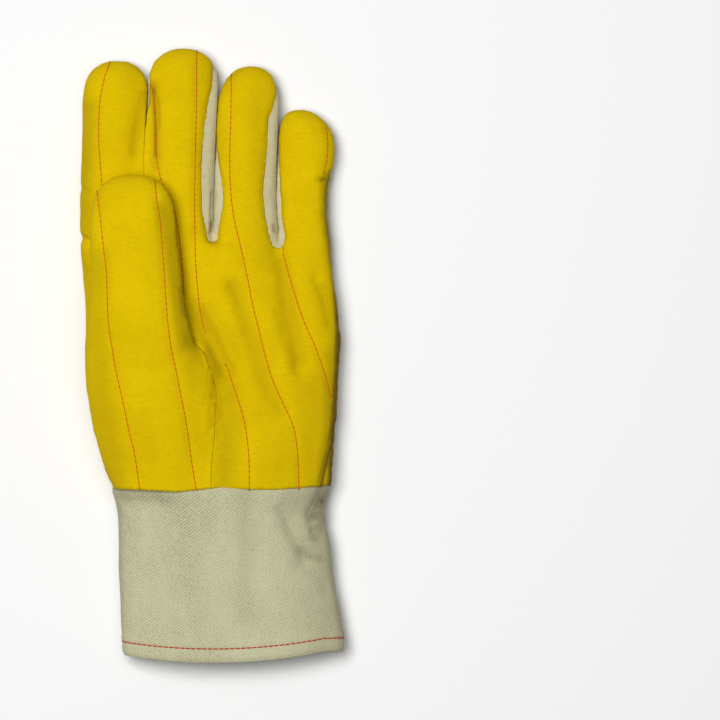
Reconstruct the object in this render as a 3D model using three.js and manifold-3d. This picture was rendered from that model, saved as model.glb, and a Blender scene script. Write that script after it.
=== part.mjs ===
// A left-hand hot mill glove, lying on its back with the palm up: a work glove of thick napped cotton.
// The quilted yellow palm covers the fronts of the fingers and wraps round the index side, natural
// canvas covers the back, a yellow thumb of two halves lies folded over the palm, and a straight twill
// cuff is sewn on at the wrist. Units are millimetres. X runs across the hand with the thumb at -X,
// Y runs from the cuff's hem to the fingertips, Z is up, and the glove rests on Z = 0.
import * as THREE from 'three';
import { mergeVertices } from 'three/addons/utils/BufferGeometryUtils.js';
import Module from 'manifold-3d';

const wasm = await Module();
wasm.setup();

// Cloth and sewing
const handWall = 3; // two plies of napped cotton, quilted together
const cuffWall = 2.4; // doubled twill
const hemExtra = 0.8; // how much thicker the turned hem is than the cuff
const seamGap = 0.3; // between two pieces that are sewn together
const fingerGap = 1; // air between neighbouring fingers
const thumbClearance = 1.5; // air between the palm and the thumb that lies over it
const thumbCut = 0.4; // how far past its own surface the thumb's cloth reaches where it meets the palm
const wrapDepth = 14; // how far the palm's cloth reaches round to the back on the index side
const wrapSlope = 2; // across the ramp by which the parting of the two cloths drops to the back there
const wrapDrop = 6; // the parting's height at the top of that ramp
const gapPlateau = 0.3; // share of a finger's width, beside its edge, over which its seam is level
const gapOverlap = fingerGap / 4; // how far into the gap beside a finger its seam stays level

// The hand and the cuff
const wristWidth = 108; // at the cuff's seam
const wristThickness = 33;
const palmLength = 120; // from the cuff's seam to the crotches of the fingers
const cuffWidth = 110; // at the hem
const cuffLength = 85;
const cuffThickness = 29.5; // at the hem
const hemHeight = 9;
const hemSag = 5.5; // how much lower the hem hangs at its middle than at its sides

// The thumb
const thumbLength = 154; // from the cuff's seam to the tip
const thumbWidth = 42;
const thumbThickness = 23;
const thumbInset = 26.4; // from the palm's edge on the index side to the thumb's axis
const thumbDome = 20; // length of the rounded tip

// The four fingers side by side, from the crotches to the tips
const indexLength = 89;
const indexWidth = 32;
const indexThickness = 25;
const indexLean = 1; // how far the tip lies towards the little finger's side
const middleLength = 95;
const middleWidth = 33.5;
const middleThickness = 26;
const middleLean = 1.2;
const ringLength = 86.5;
const ringWidth = 29;
const ringThickness = 25;
const ringLean = 1.8;
const pinkyLength = 65.5;
const pinkyWidth = 27.5;
const pinkyThickness = 23;
const pinkyLean = -0.4;
const fingerRowCentreX = -2.6;
const fingerDome = 17.5;
const webDepth = 3; // the rounded web between two fingers
const webLength = 2 * webDepth; // over which the palm rounds off to it
const fingerRoot = 24; // how far a finger's tube runs down inside the palm
const rootLift = 8; // how far the tube's underside rises there, clear of the palm's back
const knuckleShare = 0.5; // share of a finger over which its section turns from square to round
const floorPress = 2; // how much of a round section is pressed flat where it lies
const seamSurplus = 2 * handWall; // how far the hand's solids run past a seam before they are cut there
const palmCrowding = 1.35; // more than 1 sets the palm's sections closer together towards the fingers
const webBluntness = 0.12; // share of its height that the palm keeps at its closed end
const tipBluntness = 0.02; // share of its size that a rounded tip keeps at its very end

// Each finger's sections, from the index finger on: along is a share of its length, left and right
// are shares of its width from its axis, high is a share of its thickness, and the seams' heights on
// its two sides are shares of its height there.
const fingers = [
  {
    length: indexLength,
    width: indexWidth,
    thickness: indexThickness,
    lean: indexLean,
    apex: 0.01,
    sections: [
      { along: -0.27, left: -0.34, right: 0.47, high: 0.9, seamLeft: 0.5, seamRight: 0.5 },
      { along: 0.02, left: -0.488, right: 0.5, high: 1, seamLeft: 0.5, seamRight: 0.5 },
      { along: 0.24, left: -0.495, right: 0.478, high: 0.99, seamLeft: 0.5, seamRight: 0.45 },
      { along: 0.46, left: -0.502, right: 0.45, high: 0.95, seamLeft: 0.5, seamRight: 0.45 },
      { along: 0.68, left: -0.493, right: 0.47, high: 0.95, seamLeft: 0.5, seamRight: 0.45 },
      { along: 0.84, left: -0.483, right: 0.5, high: 0.92, seamLeft: 0.5, seamRight: 0.45 },
      { along: 1, left: -0.47, right: 0.5, high: 0.84, seamLeft: 0.5, seamRight: 0.45 },
    ],
  },
  {
    length: middleLength,
    width: middleWidth,
    thickness: middleThickness,
    lean: middleLean,
    apex: 0,
    sections: [
      { along: -0.25, left: -0.43, right: 0.43, high: 0.9, seamLeft: 0.5, seamRight: 0.75 },
      { along: 0.02, left: -0.5, right: 0.45, high: 1, seamLeft: 0.5, seamRight: 0.8 },
      { along: 0.225, left: -0.529, right: 0.45, high: 1, seamLeft: 0.5, seamRight: 0.84 },
      { along: 0.43, left: -0.558, right: 0.455, high: 0.98, seamLeft: 0.5, seamRight: 0.84 },
      { along: 0.586, left: -0.545, right: 0.473, high: 0.96, seamLeft: 0.5, seamRight: 0.82 },
      { along: 0.741, left: -0.518, right: 0.488, high: 0.94, seamLeft: 0.54, seamRight: 0.79 },
      { along: 0.87, left: -0.505, right: 0.495, high: 0.9, seamLeft: 0.5, seamRight: 0.58 },
      { along: 1, left: -0.5, right: 0.49, high: 0.84, seamLeft: 0.44, seamRight: 0.42 },
    ],
  },
  {
    length: ringLength,
    width: ringWidth,
    thickness: ringThickness,
    lean: ringLean,
    apex: 0.02,
    sections: [
      { along: -0.28, left: -0.5, right: 0.5, high: 0.9, seamLeft: 0.6, seamRight: 0.7 },
      { along: 0.02, left: -0.562, right: 0.515, high: 1, seamLeft: 0.74, seamRight: 0.76 },
      { along: 0.247, left: -0.568, right: 0.448, high: 1, seamLeft: 0.76, seamRight: 0.84 },
      { along: 0.416, left: -0.566, right: 0.448, high: 0.98, seamLeft: 0.68, seamRight: 0.86 },
      { along: 0.644, left: -0.55, right: 0.455, high: 0.95, seamLeft: 0.5, seamRight: 0.84 },
      { along: 0.814, left: -0.535, right: 0.452, high: 0.92, seamLeft: 0.48, seamRight: 0.66 },
      { along: 1, left: -0.51, right: 0.45, high: 0.84, seamLeft: 0.44, seamRight: 0.42 },
    ],
  },
  {
    length: pinkyLength,
    width: pinkyWidth,
    thickness: pinkyThickness,
    lean: pinkyLean,
    apex: -0.15,
    sections: [
      { along: -0.37, left: -0.46, right: 0.3, high: 0.9, seamLeft: 0.6, seamRight: 0.55 },
      { along: 0.027, left: -0.471, right: 0.425, high: 1.02, seamLeft: 0.7, seamRight: 0.6 },
      { along: 0.25, left: -0.535, right: 0.38, high: 1.02, seamLeft: 0.76, seamRight: 0.62 },
      { along: 0.4, left: -0.535, right: 0.397, high: 1, seamLeft: 0.74, seamRight: 0.6 },
      { along: 0.55, left: -0.518, right: 0.46, high: 0.98, seamLeft: 0.66, seamRight: 0.52 },
      { along: 0.7, left: -0.495, right: 0.522, high: 0.96, seamLeft: 0.58, seamRight: 0.48 },
      { along: 0.82, left: -0.473, right: 0.515, high: 0.92, seamLeft: 0.5, seamRight: 0.48 },
      { along: 1, left: -0.46, right: 0.47, high: 0.84, seamLeft: 0.5, seamRight: 0.48 },
    ],
  },
];

// The palm's sections: along is a share of its length, left and right are shares of the width there,
// which passes from the wrist's to that of the row of fingers, high is a share of the thickness there,
// and seam is the height of the seam on the little finger's side.
const palmSections = [
  { along: 0, left: -0.463, right: 0.535, high: 1, seam: 0.5 },
  { along: 0.13, left: -0.497, right: 0.529, high: 1.06, seam: 0.48 },
  { along: 0.2475, left: -0.521, right: 0.533, high: 1.078, seam: 0.46 },
  { along: 0.362, left: -0.534, right: 0.532, high: 1.07, seam: 0.45 },
  { along: 0.476, left: -0.536, right: 0.529, high: 1.055, seam: 0.44 },
  { along: 0.62, left: -0.525, right: 0.525, high: 1.043, seam: 0.45 },
  { along: 0.762, left: -0.516, right: 0.503, high: 1.02, seam: 0.5 },
  { along: 0.876, left: -0.515, right: 0.478, high: 0.986, seam: 0.56 },
  { along: 1, left: -0.515, right: 0.464, high: 0.97, seam: 0.6 },
];

// The thumb's sections: left and right are shares of its width from its axis. rise is 1 where its
// underside lies over the palm and less where it sinks into it, crown is how much of its thickness
// stands above the palm, and seam is where its two halves meet, as a share of its height.
const thumbSections = [
  { along: 0, left: -0.262, right: 1.08, rise: 0.3, crown: -0.05, seam: 0 },
  { along: 0.104, left: -0.38, right: 1, rise: 0.3, crown: 0.12, seam: 0 },
  { along: 0.193, left: -0.475, right: 0.95, rise: 0.3, crown: 0.3, seam: 0 },
  { along: 0.282, left: -0.53, right: 0.925, rise: 0.3, crown: 0.48, seam: 0.05 },
  { along: 0.326, left: -0.548, right: 0.9, rise: 0.32, crown: 0.56, seam: 0.12 },
  { along: 0.393, left: -0.555, right: 0.825, rise: 0.42, crown: 0.68, seam: 0.24 },
  { along: 0.457, left: -0.55, right: 0.712, rise: 0.66, crown: 0.8, seam: 0.35 },
  { along: 0.536, left: -0.525, right: 0.635, rise: 1, crown: 0.92, seam: 0.42 },
  { along: 0.632, left: -0.502, right: 0.583, rise: 1, crown: 1, seam: 0.45 },
  { along: 0.727, left: -0.49, right: 0.543, rise: 1, crown: 1, seam: 0.45 },
  { along: 0.823, left: -0.49, right: 0.503, rise: 1, crown: 0.98, seam: 0.45 },
  { along: 1, left: -0.49, right: 0.45, rise: 1, crown: 0.9, seam: 0.45 },
];

// The cuff's sections from the hem upwards, as shares of the width and thickness there, which pass
// from the hem's to the wrist's. The last row is the wrist's own.
const cuffSections = [
  { along: 0, left: -0.4, right: 0.581, high: 1 },
  { along: 0.14, left: -0.413, right: 0.582, high: 0.98 },
  { along: 0.3, left: -0.417, right: 0.56, high: 0.96 },
  { along: 0.46, left: -0.426, right: 0.539, high: 0.94 },
  { along: 0.62, left: -0.428, right: 0.534, high: 0.93 },
  { along: 0.78, left: -0.429, right: 0.515, high: 0.93 },
  { along: 0.88, left: -0.435, right: 0.512, high: 0.95 },
  { along: 0.95, left: -0.453, right: 0.519, high: 0.99 },
  { ...palmSections[0], along: 1 },
];

// The main folds of the palm's cloth: from and to are shares of the palm's width and length, reach is
// the fold's half width as a share of the palm's width, and lift is how far the cloth rises (or sinks)
// as a share of the palm's thickness.
const palmFolds = [
  { fromX: 0.1, fromY: 0.98, toX: 0.2, toY: 0.55, reach: 0.08, lift: 0.07 },
  { fromX: 0.2, fromY: 0.55, toX: 0.3, toY: 0.12, reach: 0.09, lift: 0.06 },
  { fromX: 0.24, fromY: 0.95, toX: 0.3, toY: 0.6, reach: 0.06, lift: -0.09 },
  { fromX: 0.07, fromY: 0.55, toX: 0.15, toY: 0.25, reach: 0.06, lift: -0.09 },
];

// The cuff's dents, in shares of its width and length.
const cuffFolds = [
  { fromX: 0.42, fromY: 0.92, toX: 0.34, toY: 0.78, reach: 0.06, lift: -0.08 },
  { fromX: 0.44, fromY: 0.72, toX: 0.4, toY: 0.55, reach: 0.06, lift: -0.06 },
  { fromX: -0.28, fromY: 0.85, toX: -0.27, toY: 0.3, reach: 0.07, lift: -0.035 },
];

const squareness = 2.4; // exponent of the sections: 2 is an ellipse, more is squarer
const knuckleSquareness = 3.4; // the same where the palm meets the fingers
const domeSquareness = 2.4;
const fingerSides = 16;
const palmSides = 36;
const thumbSides = 20;
const cuffSides = 36;
const fingerSteps = 8;
const domeSteps = 4;
const palmSteps = 12;
const thumbSteps = 13;
const cuffSteps = 8;

// A table's column at one place along it, on a smooth curve through its rows.
function read(table, along, column) {
  const last = table.length - 1;
  const place = Math.min(Math.max(along, table[0].along), table[last].along);
  let i = 0;
  while (i < last - 1 && table[i + 1].along < place) i += 1;
  const slope = (k) => {
    const before = table[Math.max(k - 1, 0)];
    const after = table[Math.min(k + 1, last)];
    return (after[column] - before[column]) / (after.along - before.along);
  };
  const from = table[i];
  const to = table[i + 1];
  const span = to.along - from.along;
  const t = (place - from.along) / span;
  const bend = t * t * (3 - 2 * t);
  return (
    from[column] * (1 - bend) +
    to[column] * bend +
    span * (slope(i) * t * (1 - t) * (1 - t) - slope(i + 1) * t * t * (1 - t))
  );
}

// Share of its full size that a rounded end has, at a share t of the way into it.
function dome(t) {
  const inside = Math.min(Math.max(t, 0), 1);
  return (1 - inside ** domeSquareness) ** (1 / domeSquareness);
}

// The points of a mesh, and its rings. A section in the XZ plane has y, left, right, low, high, its
// squareness and bottom, the height of the surface that flattens it, and bend(point) moves a finished
// point.
function ringMaker(positions, sides, bend) {
  const put = (point) => {
    bend(point);
    positions.push(point.x, point.y, point.z);
    return positions.length / 3 - 1;
  };
  const ring = (section) => {
    const middleX = (section.left + section.right) / 2;
    const middleZ = (section.low + section.high) / 2;
    const power = (value) => Math.sign(value) * Math.abs(value) ** (2 / section.square);
    const points = [];
    for (let k = 0; k < sides; k += 1) {
      const turn = (2 * Math.PI * (k + 0.5)) / sides;
      const x = middleX + ((section.right - section.left) / 2) * power(Math.cos(turn));
      const z = middleZ + ((section.high - section.low) / 2) * power(Math.sin(turn));
      points.push(put(new THREE.Vector3(x, section.y, Math.max(z, section.bottom))));
    }
    return points;
  };
  const centre = (section) => {
    const z = Math.max((section.low + section.high) / 2, section.bottom);
    return put(new THREE.Vector3((section.left + section.right) / 2, section.y, z));
  };
  return { ring, centre };
}

// The triangles between two rings.
function band(triangles, from, to) {
  for (let k = 0; k < from.length; k += 1) {
    const next = (k + 1) % from.length;
    triangles.push(from[k], to[k], from[next], from[next], to[k], to[next]);
  }
}

// A closed solid through sections, with flat ends.
function loft(sections, sides, bend = (point) => point) {
  const positions = [];
  const triangles = [];
  const make = ringMaker(positions, sides, bend);
  const rings = sections.map((section) => make.ring(section));
  const last = rings.length - 1;
  const startCentre = make.centre(sections[0]);
  const endCentre = make.centre(sections[last]);
  for (let k = 0; k < sides; k += 1) {
    const next = (k + 1) % sides;
    triangles.push(startCentre, rings[0][k], rings[0][next]);
    triangles.push(endCentre, rings[last][next], rings[last][k]);
  }
  for (let s = 0; s < last; s += 1) band(triangles, rings[s], rings[s + 1]);
  return solidFrom(positions, triangles);
}

// An open tube with a wall: up through its outer sections and back down through its inner ones.
function sleeve(outer, inner, sides, bend) {
  const positions = [];
  const triangles = [];
  const make = ringMaker(positions, sides, bend);
  const rings = [...outer, ...inner.slice().reverse()].map((section) => make.ring(section));
  rings.forEach((ring, s) => band(triangles, ring, rings[(s + 1) % rings.length]));
  return solidFrom(positions, triangles);
}

function solidFrom(positions, triangles) {
  return new wasm.Manifold(
    new wasm.Mesh({
      numProp: 3,
      vertProperties: new Float32Array(positions),
      triVerts: new Uint32Array(triangles),
    }),
  );
}

// How far the folds of a table lift the cloth at a place on it.
function foldLift(folds, width, length, thickness, x, y) {
  let lift = 0;
  for (const fold of folds) {
    const start = new THREE.Vector2(fold.fromX * width, fold.fromY * length);
    const run = new THREE.Vector2(fold.toX * width, fold.toY * length).sub(start);
    const place = new THREE.Vector2(x, y).sub(start);
    const t = Math.min(Math.max(place.dot(run) / run.lengthSq(), 0), 1);
    const away = place.sub(run.multiplyScalar(t)).length() / (fold.reach * width);
    lift += fold.lift * thickness * Math.exp(-away * away);
  }
  return lift;
}

// The fingers' axes, side by side from the index finger on.
const rowWidth = fingers.reduce((sum, finger) => sum + finger.width + fingerGap, -fingerGap);
const rowLeft = fingerRowCentreX - rowWidth / 2;
const knuckleThickness = Math.max(...fingers.map((finger) => finger.thickness));
const thumbAxisX = rowLeft + thumbInset;
fingers.forEach((finger, i) => {
  const before = fingers.slice(0, i).reduce((sum, other) => sum + other.width + fingerGap, 0);
  finger.baseX = rowLeft + before + finger.width / 2;
});

const seamY = cuffLength;
const crotchY = seamY + palmLength;
const farX = 2 * rowWidth; // past the glove's sides
const farZ = 4 * knuckleThickness; // past its top and bottom

// A value that passes evenly from one end of a piece to the other.
function blend(from, to, share) {
  const inside = Math.min(Math.max(share, 0), 1);
  return from + (to - from) * inside;
}

// The palm's outline at a distance past the cuff's seam.
function palmOutline(run) {
  const along = run / palmLength;
  const width = blend(wristWidth, rowWidth, along);
  return {
    left: width * read(palmSections, along, 'left'),
    right: width * read(palmSections, along, 'right'),
    high: blend(wristThickness, knuckleThickness, along) * read(palmSections, along, 'high'),
  };
}

// The palm's tube, shrunk by inset. It starts past the cuff's seam so that both ends of its cavity
// are open, and closes in a round end between the fingers.
function palmSolid(inset) {
  const sections = [];
  const end = palmLength + webDepth - inset;
  for (let s = 0; s <= palmSteps; s += 1) {
    const share = s / palmSteps;
    const run = -seamSurplus + (end + seamSurplus) * (1 - (1 - share) ** palmCrowding);
    const outline = palmOutline(run);
    const closing = dome((run - (end - webLength)) / webLength);
    const high = outline.high - inset;
    const low = -floorPress + inset;
    const middle = (high + low) / 2;
    const half = ((high - low) / 2) * Math.max(closing, webBluntness);
    sections.push({
      y: seamY + run,
      left: outline.left + inset,
      right: outline.right - inset,
      low: middle - half,
      high: middle + half,
      bottom: inset,
      square: blend(squareness, knuckleSquareness, run / palmLength),
    });
  }
  return loft(sections, palmSides, (point) => {
    const run = point.y - seamY;
    const raised = Math.min(Math.max(point.z / palmOutline(run).high, 0), 1);
    const lift = foldLift(palmFolds, rowWidth, palmLength, knuckleThickness, point.x, run);
    point.z += lift * raised * raised;
  });
}

// A finger's section at a distance past the crotches, shrunk by inset.
function fingerSection(finger, run, inset) {
  const along = run / finger.length;
  const tip = finger.length - inset;
  const into = (run - (tip - fingerDome + inset)) / (fingerDome - inset);
  const size = Math.max(dome(into), tipBluntness);
  const axis = finger.baseX + finger.lean * along;
  const leftEdge = axis + finger.width * read(finger.sections, along, 'left') + inset;
  const rightEdge = axis + finger.width * read(finger.sections, along, 'right') - inset;
  const apexShift = finger.apex * finger.width * Math.max(into, 0) ** 2;
  const middleX = (leftEdge + rightEdge) / 2 + apexShift;
  const high = finger.thickness * read(finger.sections, along, 'high') - inset;
  const low = inset + blend(rootLift, -floorPress, 1 + run / fingerRoot);
  const middleZ = (high + low) / 2;
  return {
    y: crotchY + run,
    left: middleX - ((rightEdge - leftEdge) / 2) * size,
    right: middleX + ((rightEdge - leftEdge) / 2) * size,
    low: middleZ - ((high - low) / 2) * size,
    high: middleZ + ((high - low) / 2) * size,
    bottom: inset,
    square: blend(knuckleSquareness, squareness, along / knuckleShare),
  };
}

// The distances at which a tube with a rounded tip gets its sections.
function tipSteps(start, tip, domeLength, steps) {
  const runs = [];
  for (let s = 0; s < steps; s += 1) runs.push(start + ((tip - domeLength - start) * s) / steps);
  for (let s = 0; s <= domeSteps; s += 1) {
    runs.push(tip - domeLength * (1 - Math.sin((Math.PI / 2) * (s / domeSteps))));
  }
  return runs;
}

function fingerSolid(finger, inset) {
  const runs = tipSteps(-fingerRoot, finger.length - inset, fingerDome - inset, fingerSteps);
  return loft(runs.map((run) => fingerSection(finger, run, inset)), fingerSides);
}

// The thumb's section at a distance past the cuff's seam, grown by grow (or shrunk where negative).
function thumbSection(run, grow) {
  const along = run / thumbLength;
  const tip = thumbLength + grow;
  const into = (run - (tip - thumbDome - grow)) / (thumbDome + grow);
  const size = Math.max(dome(into), tipBluntness);
  const palmTop = palmOutline(run).high + thumbClearance;
  const low = palmTop * read(thumbSections, along, 'rise');
  const high = palmTop + thumbThickness * read(thumbSections, along, 'crown');
  const left = thumbAxisX + thumbWidth * read(thumbSections, along, 'left');
  const right = thumbAxisX + thumbWidth * read(thumbSections, along, 'right');
  return {
    y: seamY + run,
    left: (left + right) / 2 - ((right - left) / 2 + grow) * size,
    right: (left + right) / 2 + ((right - left) / 2 + grow) * size,
    low: (low + high) / 2 - ((high - low) / 2 + grow) * size,
    high: (low + high) / 2 + ((high - low) / 2 + grow) * size,
    bottom: 0,
    square: squareness,
    seam: low + (high - low) * read(thumbSections, along, 'seam'),
  };
}

function thumbSolid(grow) {
  const runs = tipSteps(-seamSurplus, thumbLength + grow, thumbDome + grow, thumbSteps);
  return loft(runs.map((run) => thumbSection(run, grow)), thumbSides);
}

// The solid above (or below) a surface that is a polyline across X at each of several Y.
function halfSpace(profiles, above) {
  const far = above ? farZ : -farZ;
  const positions = [];
  const triangles = [];
  const width = profiles[0].points.length;
  for (const profile of profiles) {
    for (const [x, z] of profile.points) positions.push(x, profile.y, z);
    for (const [x] of profile.points) positions.push(x, profile.y, far);
  }
  const quad = (a, b, c, d) => {
    triangles.push(...(above ? [a, b, c, a, c, d] : [a, c, b, a, d, c]));
  };
  const at = (row, i) => row * width * 2 + i;
  for (let row = 0; row + 1 < profiles.length; row += 1) {
    for (let i = 0; i + 1 < width; i += 1) {
      quad(at(row, i), at(row + 1, i), at(row + 1, i + 1), at(row, i + 1));
      const top = width + i;
      quad(at(row, top + 1), at(row + 1, top + 1), at(row + 1, top), at(row, top));
    }
    const right = width - 1;
    quad(at(row, 0), at(row, width), at(row + 1, width), at(row + 1, 0));
    quad(at(row, right), at(row + 1, right), at(row + 1, right + width), at(row, right + width));
  }
  const last = profiles.length - 1;
  for (let i = 0; i + 1 < width; i += 1) {
    quad(at(0, i), at(0, i + 1), at(0, i + 1 + width), at(0, i + width));
    quad(at(last, i), at(last, i + width), at(last, i + 1 + width), at(last, i + 1));
  }
  return solidFrom(positions, triangles);
}

// The parting between the palm's cloth and the back's, moved by shift towards the back (negative) or
// the front. On the index side it drops below the glove, where the palm's cloth wraps round.
function partingPoints(y, shift) {
  const run = y - crotchY;
  const outline = palmOutline(y - seamY);
  const sideSeam = outline.high * read(palmSections, (y - seamY) / palmLength, 'seam');
  const wrapX = (run > 0 ? fingerSection(fingers[0], 0, 0).left : outline.left) + wrapDepth - shift;
  const wrapPoints = [
    [-farX, -handWall],
    [wrapX - wrapSlope / 2, -handWall],
    [wrapX + wrapSlope / 2, wrapDrop],
  ];
  const points = [];
  fingers.forEach((finger, i) => {
    const place = Math.min(Math.max(run, 0), finger.length - fingerDome / 2);
    const section = fingerSection(finger, place, 0);
    const width = section.right - section.left;
    const rise = (column) => section.high * read(finger.sections, place / finger.length, column);
    const level = (column) => blend(sideSeam, rise(column), 1 + run / fingerRoot);
    if (i > 0) {
      points.push([section.left - gapOverlap, level('seamLeft')]);
      points.push([section.left + width * gapPlateau, level('seamLeft')]);
    }
    points.push([section.right - width * gapPlateau, level('seamRight')]);
    points.push([section.right + gapOverlap, level('seamRight')]);
  });
  points[points.length - 1][0] = Math.max(outline.right, points[points.length - 1][0]);
  points.push([farX, points[points.length - 1][1]]);
  return [...wrapPoints, ...points.map(([x, z]) => [x, z + shift])];
}

function partingSolid(above) {
  const shift = (above ? 1 : -1) * (seamGap / 2);
  const profiles = [];
  const longest = Math.max(...fingers.map((finger) => finger.length));
  const stops = [-palmLength - seamSurplus];
  for (let s = 0; s <= palmSteps; s += 1) stops.push(-palmLength + (palmLength * s) / palmSteps);
  for (let s = 1; s <= fingerSteps; s += 1) stops.push((longest * s) / fingerSteps);
  stops.push(longest + seamSurplus);
  for (const stop of stops) {
    profiles.push({ y: crotchY + stop, points: partingPoints(crotchY + stop, shift) });
  }
  return halfSpace(profiles, above);
}

function thumbPartingSolid(above) {
  const shift = (above ? 1 : -1) * (seamGap / 2);
  const profiles = [];
  for (let s = 0; s <= thumbSteps; s += 1) {
    const run = -seamSurplus + (thumbLength + 2 * seamSurplus) * (s / thumbSteps);
    const section = thumbSection(Math.min(run, thumbLength), 0);
    const z = section.seam + shift;
    profiles.push({ y: seamY + run, points: [[-farX, z], [farX, z]] });
  }
  return halfSpace(profiles, above);
}

// Everything past the cuff's seam, from start on.
function beyond(start) {
  const length = palmLength + thumbLength;
  const box = new THREE.BoxGeometry(2 * farX, length, 2 * farZ);
  box.translate(0, start + length / 2, 0);
  box.deleteAttribute('normal');
  box.deleteAttribute('uv');
  const merged = mergeVertices(box);
  return solidFrom(merged.attributes.position.array, merged.index.array);
}

// The hand: one skin of cloth round the palm, the fingers and the thumb, cut at its seams.
function joined(solids) {
  return solids.reduce((sum, solid) => sum.add(solid));
}
const handOuter = joined([palmSolid(0), ...fingers.map((finger) => fingerSolid(finger, 0))]);
const handInner = joined([
  palmSolid(handWall),
  ...fingers.map((finger) => fingerSolid(finger, handWall)),
]);
const skin = handOuter
  .add(thumbSolid(0))
  .subtract(handInner.add(thumbSolid(-handWall)))
  .intersect(beyond(seamY + seamGap / 2));
const front = skin.intersect(partingSolid(true));
const back = skin.intersect(partingSolid(false));
const palm = front.subtract(thumbSolid(seamGap + thumbCut));
const thumb = front.intersect(thumbSolid(thumbCut));
const thumbFront = thumb.intersect(thumbPartingSolid(true));
const thumbBack = thumb.intersect(thumbPartingSolid(false));

// The cuff: a straight tube of doubled twill with a thicker turned hem.
function cuffSection(y, inset) {
  const along = y / cuffLength;
  const extra = inset === 0 && y <= hemHeight ? hemExtra : 0;
  const width = blend(cuffWidth, wristWidth, along);
  const thickness = blend(cuffThickness, wristThickness, along);
  return {
    y,
    left: width * read(cuffSections, along, 'left') + inset - extra,
    right: width * read(cuffSections, along, 'right') - inset + extra,
    low: -floorPress + inset,
    high: thickness * read(cuffSections, along, 'high') - inset + extra,
    bottom: inset,
    square: squareness,
  };
}

function bendCuff(point) {
  const raised = Math.min(Math.max(point.z / cuffThickness, 0), 1);
  const lift = foldLift(cuffFolds, cuffWidth, cuffLength, cuffThickness, point.x, point.y);
  point.z += lift * raised * raised;
  const side = (2 * point.x) / cuffWidth;
  point.y += hemSag * Math.min(side * side, 1) * blend(1, 0, point.y / cuffLength);
}
const cuffTop = cuffLength - seamGap / 2;
const hemTop = hemHeight + hemExtra;
const cuffStops = [0, hemHeight];
for (let s = 0; s <= cuffSteps; s += 1) cuffStops.push(blend(hemTop, cuffTop, s / cuffSteps));
const cuffOuter = cuffStops.map((y) => cuffSection(y, 0));
const cuffInner = cuffStops.map((y) => cuffSection(y, cuffWall));
const cuff = sleeve(cuffOuter, cuffInner, cuffSides, bendCuff);

const yellowCloth = new THREE.MeshStandardMaterial({ color: 0xdbbb05, roughness: 0.95, metalness: 0 });
const naturalCanvas = new THREE.MeshStandardMaterial({ color: 0xc4bc8e, roughness: 0.95, metalness: 0 });
const naturalTwill = new THREE.MeshStandardMaterial({ color: 0xc1be98, roughness: 0.9, metalness: 0 });

const glove = new THREE.Group();

function addPiece(name, solid, material) {
  const mesh = solid.getMesh();
  const positions = new Float32Array(mesh.numVert * 3);
  for (let i = 0; i < mesh.numVert; i += 1) {
    for (let c = 0; c < 3; c += 1) {
      positions[i * 3 + c] = mesh.vertProperties[i * mesh.numProp + c];
    }
  }
  const geometry = new THREE.BufferGeometry();
  geometry.setAttribute('position', new THREE.BufferAttribute(positions, 3));
  geometry.setIndex(new THREE.BufferAttribute(mesh.triVerts, 1));
  geometry.computeVertexNormals();
  const piece = new THREE.Mesh(geometry, material);
  piece.name = name;
  glove.add(piece);
}

addPiece('palm', palm, yellowCloth);
addPiece('back', back, naturalCanvas);
addPiece('thumb_front', thumbFront, yellowCloth);
addPiece('thumb_back', thumbBack, yellowCloth);
addPiece('cuff', cuff, naturalTwill);

// The origin is the middle of the glove's footprint.
const box = new THREE.Box3().setFromObject(glove);
glove.position.set(-(box.min.x + box.max.x) / 2, -(box.min.y + box.max.y) / 2, -box.min.z);

export default glove;
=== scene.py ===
import math

import bmesh
import bpy
import numpy as np
from mathutils import Matrix, Vector, noise
from mathutils.bvhtree import BVHTree
from mathutils.kdtree import KDTree


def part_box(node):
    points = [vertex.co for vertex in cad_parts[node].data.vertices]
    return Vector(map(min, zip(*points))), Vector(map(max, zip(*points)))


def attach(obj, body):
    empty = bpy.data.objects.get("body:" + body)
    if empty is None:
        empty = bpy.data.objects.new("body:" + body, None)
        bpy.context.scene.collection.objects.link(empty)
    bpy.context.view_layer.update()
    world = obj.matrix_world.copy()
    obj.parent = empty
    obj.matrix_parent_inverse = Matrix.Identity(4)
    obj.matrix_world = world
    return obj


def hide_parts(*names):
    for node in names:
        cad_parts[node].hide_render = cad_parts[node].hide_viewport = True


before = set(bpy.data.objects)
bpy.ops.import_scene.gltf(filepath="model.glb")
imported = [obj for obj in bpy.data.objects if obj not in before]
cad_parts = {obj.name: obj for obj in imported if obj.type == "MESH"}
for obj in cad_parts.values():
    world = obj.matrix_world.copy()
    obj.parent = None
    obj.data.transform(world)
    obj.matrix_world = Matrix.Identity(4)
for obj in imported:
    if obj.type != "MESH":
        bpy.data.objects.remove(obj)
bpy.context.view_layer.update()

MM = 0.001

# The cloth skin of the hand.
# The hand is sewn inside out from napped cotton and canvas and then turned, so its outside is one
# smooth skin: the four cloth pieces are joined here, rounded, and cut apart again along their seams.
HAND_NODES = ("palm", "back", "thumb_front", "thumb_back")
SKIN_VOXEL = 1.0 * MM
SKIN_ROUNDS = 22
SKIN_SWELL = 0.35 * MM
PIECE_ROUNDS = 12
SEAM_ROUNDS = 14
WRIST_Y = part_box("palm")[0][1]
WRIST_CUT = 1.2 * MM
FINGER_SPREAD = 2.6 * MM
SPREAD_START = 57.5 * MM
SPREAD_RUN = 14 * MM
THUMB_LIFT = 4 * MM
LIFT_START = 10 * MM
LIFT_RUN = 20 * MM
BASE_REACH = 14 * MM
BASE_TOP = 12 * MM
BASE_RUN = 14 * MM
BASE_ROUNDS = 260
BASE_SEAM_ROUNDS = 80
BASE_SEAM_TOP = -15 * MM
BASE_SEAM_REACH = 20 * MM
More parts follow.
